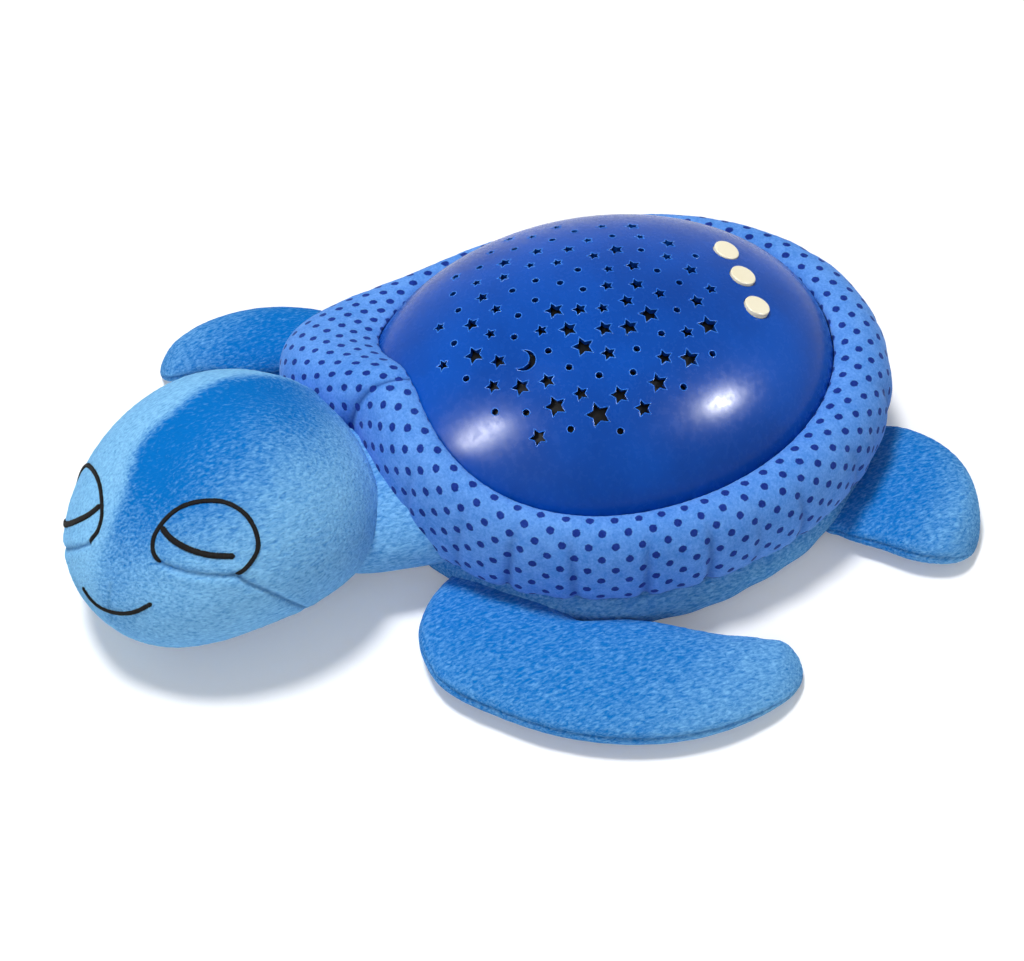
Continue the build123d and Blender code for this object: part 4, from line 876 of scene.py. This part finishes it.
def colour_setting(name, description, *screen):
    """Setting of a colour that is given as it looks on a screen."""
    return FloatVectorProperty(name=name, description=description, subtype="COLOR", size=4, min=0, max=1,
                               default=linear(*screen))


def size_setting(name, description, size):
    """Setting of a length."""
    return FloatProperty(name=name, description=description, unit="LENGTH", default=size)


class PlushSettings(bpy.types.PropertyGroup):
    """Colours of the plush, with its painted light and painted shade, and depth of its pile."""
    # Nap Away and Nap Towards are the ends of the painted shading: the darker is painted shade, the lighter painted
    # light
    dark: colour_setting("Nap Away", "Colour where the pile leans away", 4, 112, 197)
    light: colour_setting("Nap Towards", "Colour where the pile leans towards the eye", 150, 214, 255)
    sheen: colour_setting("Sheen", "Tint of the light caught by the pile's tips", 130, 196, 255)
    # colour of the painted shade in seams and grooves
    painted_crease_shade: colour_setting("Seam", "Colour deep in a seam", 20, 74, 138)
    pile: size_setting("Pile", "Depth of the pile", 0.9 * MM)


class ClothSettings(bpy.types.PropertyGroup):
    """Colours of the dotted cloth and its dot pattern."""
    dark: colour_setting("Ground Dark", "Darker tone of the cloth", 54, 122, 212)
    light: colour_setting("Ground Light", "Lighter tone of the cloth", 116, 172, 247)
    dot_dark: colour_setting("Dot Dark", "Darker tone of the dots", 12, 34, 118)
    dot_light: colour_setting("Dot Light", "Lighter tone of the dots", 36, 66, 160)
    sheen: colour_setting("Sheen", "Tint of the cloth's sheen", 190, 215, 255)
    # colour of the painted shade in gathers and along the front seam
    painted_crease_shade: colour_setting("Crease", "Colour deep in a gather", 34, 74, 150)
    spacing: size_setting("Dot Spacing", "Distance of dots in a row", 9.5 * MM)
    rows: size_setting("Double Row", "Distance of every second row of dots", 9.6 * MM)
    dot_radius: size_setting("Dot Radius", "Radius of one dot", 1.38 * MM)


class ThreadSettings(bpy.types.PropertyGroup):
    """Colours and sizes of the embroidery."""
    dark: colour_setting("Thread Dark", "Darker tone of the thread", 6, 5, 5)
    light: colour_setting("Thread Light", "Lighter tone of the thread", 36, 32, 30)
    line: size_setting("Line Width", "Width of the eye and mouth lines", 1.55 * MM)
    lid: size_setting("Lid Width", "Width of the eyelid line", 2.1 * MM)
    height: size_setting("Height", "Height of the stitches above the pile", 0.55 * MM)


class DomeSettings(bpy.types.PropertyGroup):
    """Finish of the hard dome and its buttons."""
    dark: colour_setting("Dome Dark", "Darker tone of the dome", 1, 64, 154)
    light: colour_setting("Dome Light", "Lighter tone of the dome", 4, 82, 186)
    # the edges' lighter blue is a painted highlight; the rounded beads also catch real gloss
    edge_highlight_dark: colour_setting("Edge Dark", "Darker tone of the rounded hole edges", 16, 92, 196)
    edge_highlight_light: colour_setting("Edge Light", "Lighter tone of the rounded hole edges", 60, 134, 232)
    roughness: FloatProperty(name="Roughness", description="Roughness of the dome's gloss", subtype="FACTOR",
                             min=0, max=1, default=0.26)


class StageSettings(bpy.types.PropertyGroup):
    """Camera and studio light."""
    lens: FloatProperty(name="Lens", description="Focal length of the camera in millimetres", default=90.0)
    azimuth: FloatProperty(name="Azimuth", description="Turn of the camera from the head's side, in radians",
                           subtype="ANGLE", default=float(np.radians(70.9)))
    elevation: FloatProperty(name="Elevation", description="Height of the camera above the horizon, in radians",
                             subtype="ANGLE", default=float(np.radians(51.1)))
    distance: size_setting("Distance", "Distance of the camera", 0.879)
    key: FloatProperty(name="Key Light", description="Power of the large soft light", unit="POWER", default=44.0)
    fill: FloatProperty(name="Fill Light", description="Power of the fill light", unit="POWER", default=9.5)
    glint: FloatProperty(name="Glint Light", description="Power of the small lights that the dome mirrors",
                         unit="POWER", default=14.0)


def shared_plush():
    """The one plush finish of all stuffed pieces, made once."""
    found = bpy.data.materials.get("plush_pile")
    return found or plush_finish(bpy.context.scene.turtle_plush)


class TURTLE_OT_hard_pieces(bpy.types.Operator):
    """Gives the dome, buttons, base and inner pieces their finishes"""
    bl_idname = "turtle.hard_pieces"
    bl_label = "Hard Pieces"

    def execute(self, context):
        dome = context.scene.turtle_dome
        finishes = {"dome_plastic": hard_finish("dome_gloss", dome.dark, dome.light, dome.roughness, 0.0, 420.0,
                                                0.02 * MM, 0.0, 0.12),
                    "cell_can": cell_finish()}
        for slot, name, dark, light, *rest in HARD_FINISHES:
            finishes[slot] = hard_finish(name, linear(*dark), linear(*light), *rest)
        for slot, name, tint in LENS_FINISHES:
            finishes[slot] = lens_finish(name, linear(*tint))
        for subpart in frame["record"]["subparts"]:
            finish = finishes.get(subpart["material_slot"])
            if finish is None:
                continue
            for place in frame["nodes"][subpart["node"]].material_slots:
                place.material = finish
        return {"FINISHED"}


class TURTLE_OT_hole_edges(bpy.types.Operator):
    """Rounds the edges of the star, dot and crescent holes in the dome, in a lighter blue that is a painted highlight
    """
    bl_idname = "turtle.hole_edges"
    bl_label = "Hole Edges"

    def execute(self, context):
        beads = hole_edges()
        holes, places, section = beads.shape[:3]
        index = np.arange(holes * places * section).reshape(holes, places, section)
        beside = np.roll(index, -1, 1)
        quads = np.stack([index, beside, np.roll(beside, -1, 2), np.roll(index, -1, 2)], -1).reshape(-1, 4)
        flat = beads.reshape(-1, 3)
        mesh = bpy.data.meshes.new("hole_edges")
        mesh.from_pydata(flat.tolist(), [], quads.tolist())
        mesh.polygons.foreach_set("use_smooth", np.ones(len(quads), dtype=bool))
        mesh.update()
        facing = np.empty(3 * len(quads))
        mesh.polygons.foreach_get("normal", facing)
        ring = beads.mean(axis=2, keepdims=True) + 0 * beads
        away = (flat - ring.reshape(-1, 3))[quads].mean(axis=1)
        if np.sum(facing.reshape(-1, 3) * away) < 0:
            mesh.flip_normals()
        piece = bpy.data.objects.new("hole_edges", mesh)
        context.scene.collection.objects.link(piece)
        dome = context.scene.turtle_dome
        # lighter blue beads: a painted highlight along each hole's edge
        finish = hard_finish("edge_gloss", dome.edge_highlight_dark, dome.edge_highlight_light, dome.roughness, 0.0, 900.0, 0.02 * MM,
                             0.0, 0.15)
        dress(piece, finish, "dome_plastic", "turtle")
        return {"FINISHED"}


class TURTLE_OT_rim(bpy.types.Operator):
    """Makes the stuffed rim of dotted cloth round the dome, gathered at its lower seam"""
    bl_idname = "turtle.rim"
    bl_label = "Dotted Rim"

    def execute(self, context):
        cloth = context.scene.turtle_cloth
        points, turn = rim_surface()
        normals = normals_of(points, True)
        middle = points[:SHOWN_ROWS].mean(axis=0)
        shoulder = 20
        inward = np.sum(normals[shoulder] * (points[shoulder] - middle)) < 0
        normals = -normals if inward else normals
        row = np.arange(len(points))[:, None]
        shown = row < SHOWN_ROWS
        low = ease((row - 14) / 26) * shown
        painted_crease_shade = np.zeros(points.shape[:2])
        relief = np.zeros(points.shape[:2])
        for place, depth in GATHERS:
            lean = place + 2.2 * np.sin(place) * (row - 40) / 30
            gap = (turn[None] - lean + 180) % 360 - 180
            cut = swell(gap, 0, 1.15) * low
            puff = (swell(gap, 4.2, 2.6) + swell(gap, -4.2, 2.6)) * low
            relief += depth * MM * (0.45 * puff - 1.0 * cut)
            # painted shade deep in each gather
            painted_crease_shade = np.maximum(painted_crease_shade, 0.4 * depth * cut)
        front = swell(turn[None], 0, 1.1) * shown
        beside = (swell(turn[None], 5.5, 3.6) + swell(turn[None], -5.5, 3.6)) * shown
        relief += -1.0 * MM * front + 0.35 * MM * beside
        # painted shade along the front seam
        painted_crease_shade = np.maximum(painted_crease_shade, 0.85 * swell(turn[None], 0, 0.45) * shown)
        ripple = np.sin(np.radians(turn) * 31 + 1.3 * np.sin(np.radians(turn) * 5))[None]
        relief += 0.22 * MM * ripple * low * ease((SHOWN_ROWS - row) / LOWER_ROWS)
        relief *= (row > 1)
        relief += pile_noise(relief.shape, 0.03 * MM, 3) * shown
        points = points + normals * relief[..., None]
        step = np.linalg.norm(np.roll(points, -1, 1) - points, axis=-1)
        mid_row = 34
        along = np.concatenate([[0], np.cumsum(step[mid_row])])
        dots = round(along[-1] / cloth.spacing)
        stretch = step / step[mid_row]
        closed = np.concatenate([points, points[:1]], axis=0)
        rise = np.linalg.norm(np.diff(closed, axis=0), axis=-1)
        section = np.concatenate([np.zeros((1, len(turn))), np.cumsum(rise, axis=0)])
        section = np.concatenate([section, section[:, :1]], axis=1)
        uv = np.stack([np.broadcast_to(along, section.shape), section], -1)
        piece = grid_object("rim_cloth", points, wrap_rows=True, uv=uv, floats={"stretch": stretch, "painted_crease_shade": painted_crease_shade})
        dress(piece, dotted_cloth_finish(cloth, along[-1] / dots), "dotted_cloth", "turtle", "rim_bolster")
        return {"FINISHED"}


class TURTLE_OT_belly(bpy.types.Operator):
    """Makes the plush belly ring under the rim"""
    bl_idname = "turtle.belly"
    bl_label = "Belly"

    def execute(self, context):
        points, painted_shading = belly_surface()
        painted_crease_shade = np.zeros(painted_shading.shape)
        piece = grid_object("belly_plush", points, wrap_rows=True, floats={"painted_shading": painted_shading, "painted_crease_shade": painted_crease_shade})
        dress(piece, shared_plush(), "plush", "turtle", "belly")
        return {"FINISHED"}


class TURTLE_OT_head(bpy.types.Operator):
    """Makes the stuffed head with its crown ridge and seams"""
    bl_idname = "turtle.head"
    bl_label = "Head"

    def execute(self, context):
        points, painted_shading, painted_crease_shade = head_surface()
        piece = grid_object("head_plush", points, floats={"painted_shading": painted_shading, "painted_crease_shade": painted_crease_shade})
        dress(piece, shared_plush(), "plush", "turtle", "head")
        return {"FINISHED"}


class TURTLE_OT_face(bpy.types.Operator):
    """Embroiders both closed eyes and the mouth"""
    bl_idname = "turtle.face"
    bl_label = "Embroidered Face"

    def execute(self, context):
        thread = context.scene.turtle_thread
        finish = thread_finish(thread)
        eye = line_directions(EYE_ARC, 420)
        lid = line_directions(EYE_LID, 220)
        lines = (("eye_line_left", eye, thread.line), ("eye_line_right", mirrored(eye), thread.line),
                 ("eyelid_left", lid, thread.lid), ("eyelid_right", mirrored(lid), thread.lid),
                 ("mouth_line", line_directions(MOUTH, 220), thread.line))
        for name, directions, width in lines:
            dress(thread_line(name, directions, width, thread.height), finish, "plush", "turtle")
        return {"FINISHED"}


class TURTLE_OT_neck(bpy.types.Operator):
    """Makes the short plush neck between body and head"""
    bl_idname = "turtle.neck"
    bl_label = "Neck"

    def execute(self, context):
        points, painted_shading = neck_surface()
        piece = grid_object("neck_plush", points, floats={"painted_shading": painted_shading, "painted_crease_shade": np.zeros(painted_shading.shape)})
        dress(piece, shared_plush(), "plush", "turtle", "neck")
        return {"FINISHED"}


class TURTLE_OT_flippers(bpy.types.Operator):
    """Makes the four stuffed flippers with their sewn edges"""
    bl_idname = "turtle.flippers"
    bl_label = "Flippers"

    def execute(self, context):
        joints = {joint["name"]: joint for joint in frame["record"]["behaviour"]["joints"]}
        for name, body, joint, sizes, tone in LIMBS:
            root = np.array(joints[joint]["pos_m"])
            points, at, around, painted_crease_shade = flipper_surface(root, *sizes)
            # painted light and shade: each flipper's own level, lighter towards the tip, darker on top
            painted_shading = tone + 0.3 * ease((at[:, None] - 0.5) / 0.5) - 0.12 * np.sin(around)
            piece = grid_object(name + "_plush", points, floats={"painted_shading": painted_shading, "painted_crease_shade": painted_crease_shade})
            if name.startswith("front"):
                dress(piece, shared_plush(), "plush", body, name)
            else:
                dress(piece, shared_plush(), "plush", None, name)
                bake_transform(piece)
        return {"FINISHED"}


class TURTLE_OT_stage(bpy.types.Operator):
    """Sets the floor, the soft studio light and the camera"""
    bl_idname = "turtle.stage"
    bl_label = "Stage"

    def area_lamp(self, name, place, target, size, power, glossy):
        """Soft oval lamp that faces a target and gives either its image in glossy pieces or its light on all pieces."""
        lamp = bpy.data.lights.new(name, "AREA")
        lamp.shape = "ELLIPSE"
        lamp.size, lamp.size_y = size
        lamp.energy = power
        made = bpy.data.objects.new(name, lamp)
        made.location = place
        made.rotation_euler = (Vector(target) - Vector(place)).to_track_quat("-Z", "Y").to_euler()
        made.visible_glossy = glossy
        made.visible_diffuse = not glossy
        bpy.context.scene.collection.objects.link(made)

    def execute(self, context):
        stage = context.scene.turtle_stage
        scene = context.scene
        scene.view_settings.view_transform = "Standard"
        turn, rise = stage.azimuth, stage.elevation
        view = np.array((np.sin(turn) * np.cos(rise), -np.cos(turn) * np.cos(rise), np.sin(rise)))
        camera = bpy.data.objects.new("photo_camera", bpy.data.cameras.new("photo_camera"))
        camera.data.lens = stage.lens
        camera.data.sensor_width = SENSOR_WIDTH
        camera.location = CAMERA_TARGET + stage.distance * view
        camera.rotation_euler = (-Vector(view)).to_track_quat("-Z", "Y").to_euler()
        scene.collection.objects.link(camera)
        scene.camera = camera
        corner, low = FLOOR_CORNER, FLOOR_HEIGHT
        mesh = bpy.data.meshes.new("floor")
        mesh.from_pydata([(-corner, -corner, low), (corner, -corner, low), (corner, corner, low),
                          (-corner, corner, low)], [], [(0, 1, 2, 3)])
        floor = bpy.data.objects.new("floor", mesh)
        scene.collection.objects.link(floor)
        floor.data.materials.append(self.floor_finish())
        self.area_lamp("key_light", KEY_PLACE, LAMP_TARGET, (0.5, 0.5), stage.key, False)
        side = tuple(1.9 * (view + np.array((0.3, -0.5, 0.0))))
        self.area_lamp("fill_light", side, LAMP_TARGET, (1.4, 1.4), stage.fill, False)
        for name, spot, mirror, size, share in GLINTS:
            spot = np.array(spot) * MM
            place = tuple(spot + GLINT_DISTANCE * np.array(mirror))
            self.area_lamp(name, place, tuple(spot), size, share * stage.glint, True)
        self.light_world(scene)
        return {"FINISHED"}

    def ray_share(self, tree):
        """One for rays from the camera, mirrors and clear pieces, and zero for the rest."""
        path = node(tree, "ShaderNodeLightPath")
        share = maths(tree, "MAXIMUM", path.outputs["Is Camera Ray"], path.outputs["Is Glossy Ray"])
        return maths(tree, "MAXIMUM", share, path.outputs["Is Transmission Ray"])

    def floor_finish(self):
        """Pale matt floor with a faint grain, lifted to white for the camera while it keeps its shadow."""
        material, tree, shader = start_material("pale_floor")
        place = object_place(tree)
        grain = noise(tree, place, 90.0, 2.0)
        colour = mixed(tree, grain, (0.9, 0.9, 0.9, 1), (0.92, 0.92, 0.92, 1))
        lift = maths(tree, "MULTIPLY", self.ray_share(tree), 0.16)
        set_inputs(tree, shader, Base_Color=colour, Roughness=0.95, Specular_IOR_Level=0.0,
                   Emission_Color=(1, 1, 1, 1), Emission_Strength=lift)
        return material

    def light_world(self, scene):
        """White surroundings for the camera and mirrors, and a weaker even light for everything else."""
        world = bpy.data.worlds.new("studio")
        world.use_nodes = True
        scene.world = world
        tree = world.node_tree
        back = tree.nodes["Background"]
        back.inputs["Color"].default_value = (1, 1, 1, 1)
        tree.links.new(ramp(tree, self.ray_share(tree), 0.0, 1.0, 0.3, 1.0), back.inputs["Strength"])


class TURTLE_PT_panel(bpy.types.Panel):
    """Lists the steps that dress the night light"""
    bl_label = "Sea Turtle Night Light"
    bl_idname = "TURTLE_PT_panel"
    bl_space_type = "VIEW_3D"
    bl_region_type = "UI"
    bl_category = "Turtle"

    def draw(self, context):
        for step in STEPS:
            self.layout.operator(step.bl_idname)


SETTINGS = {"turtle_plush": PlushSettings, "turtle_cloth": ClothSettings, "turtle_thread": ThreadSettings,
            "turtle_dome": DomeSettings, "turtle_stage": StageSettings}
STEPS = (TURTLE_OT_hard_pieces, TURTLE_OT_hole_edges, TURTLE_OT_rim, TURTLE_OT_belly, TURTLE_OT_neck, TURTLE_OT_head,
         TURTLE_OT_face, TURTLE_OT_flippers, TURTLE_OT_stage)


def register():
    """Registers the settings, the steps and the panel."""
    for name, group in SETTINGS.items():
        bpy.utils.register_class(group)
        setattr(bpy.types.Scene, name, PointerProperty(type=group))
    for step in (*STEPS, TURTLE_PT_panel):
        bpy.utils.register_class(step)


def unregister():
    """Removes the panel, the steps and the settings."""
    for step in (TURTLE_PT_panel, *reversed(STEPS)):
        bpy.utils.unregister_class(step)
    for name, group in SETTINGS.items():
        delattr(bpy.types.Scene, name)
        bpy.utils.unregister_class(group)


def main():
    """Dresses the whole night light."""
    register()
    bpy.ops.turtle.hard_pieces()
    bpy.ops.turtle.hole_edges()
    bpy.ops.turtle.rim()
    bpy.ops.turtle.belly()
    bpy.ops.turtle.neck()
    bpy.ops.turtle.head()
    bpy.ops.turtle.face()
    bpy.ops.turtle.flippers()
    bpy.ops.turtle.stage()


if __name__ == "__main__":
    main()
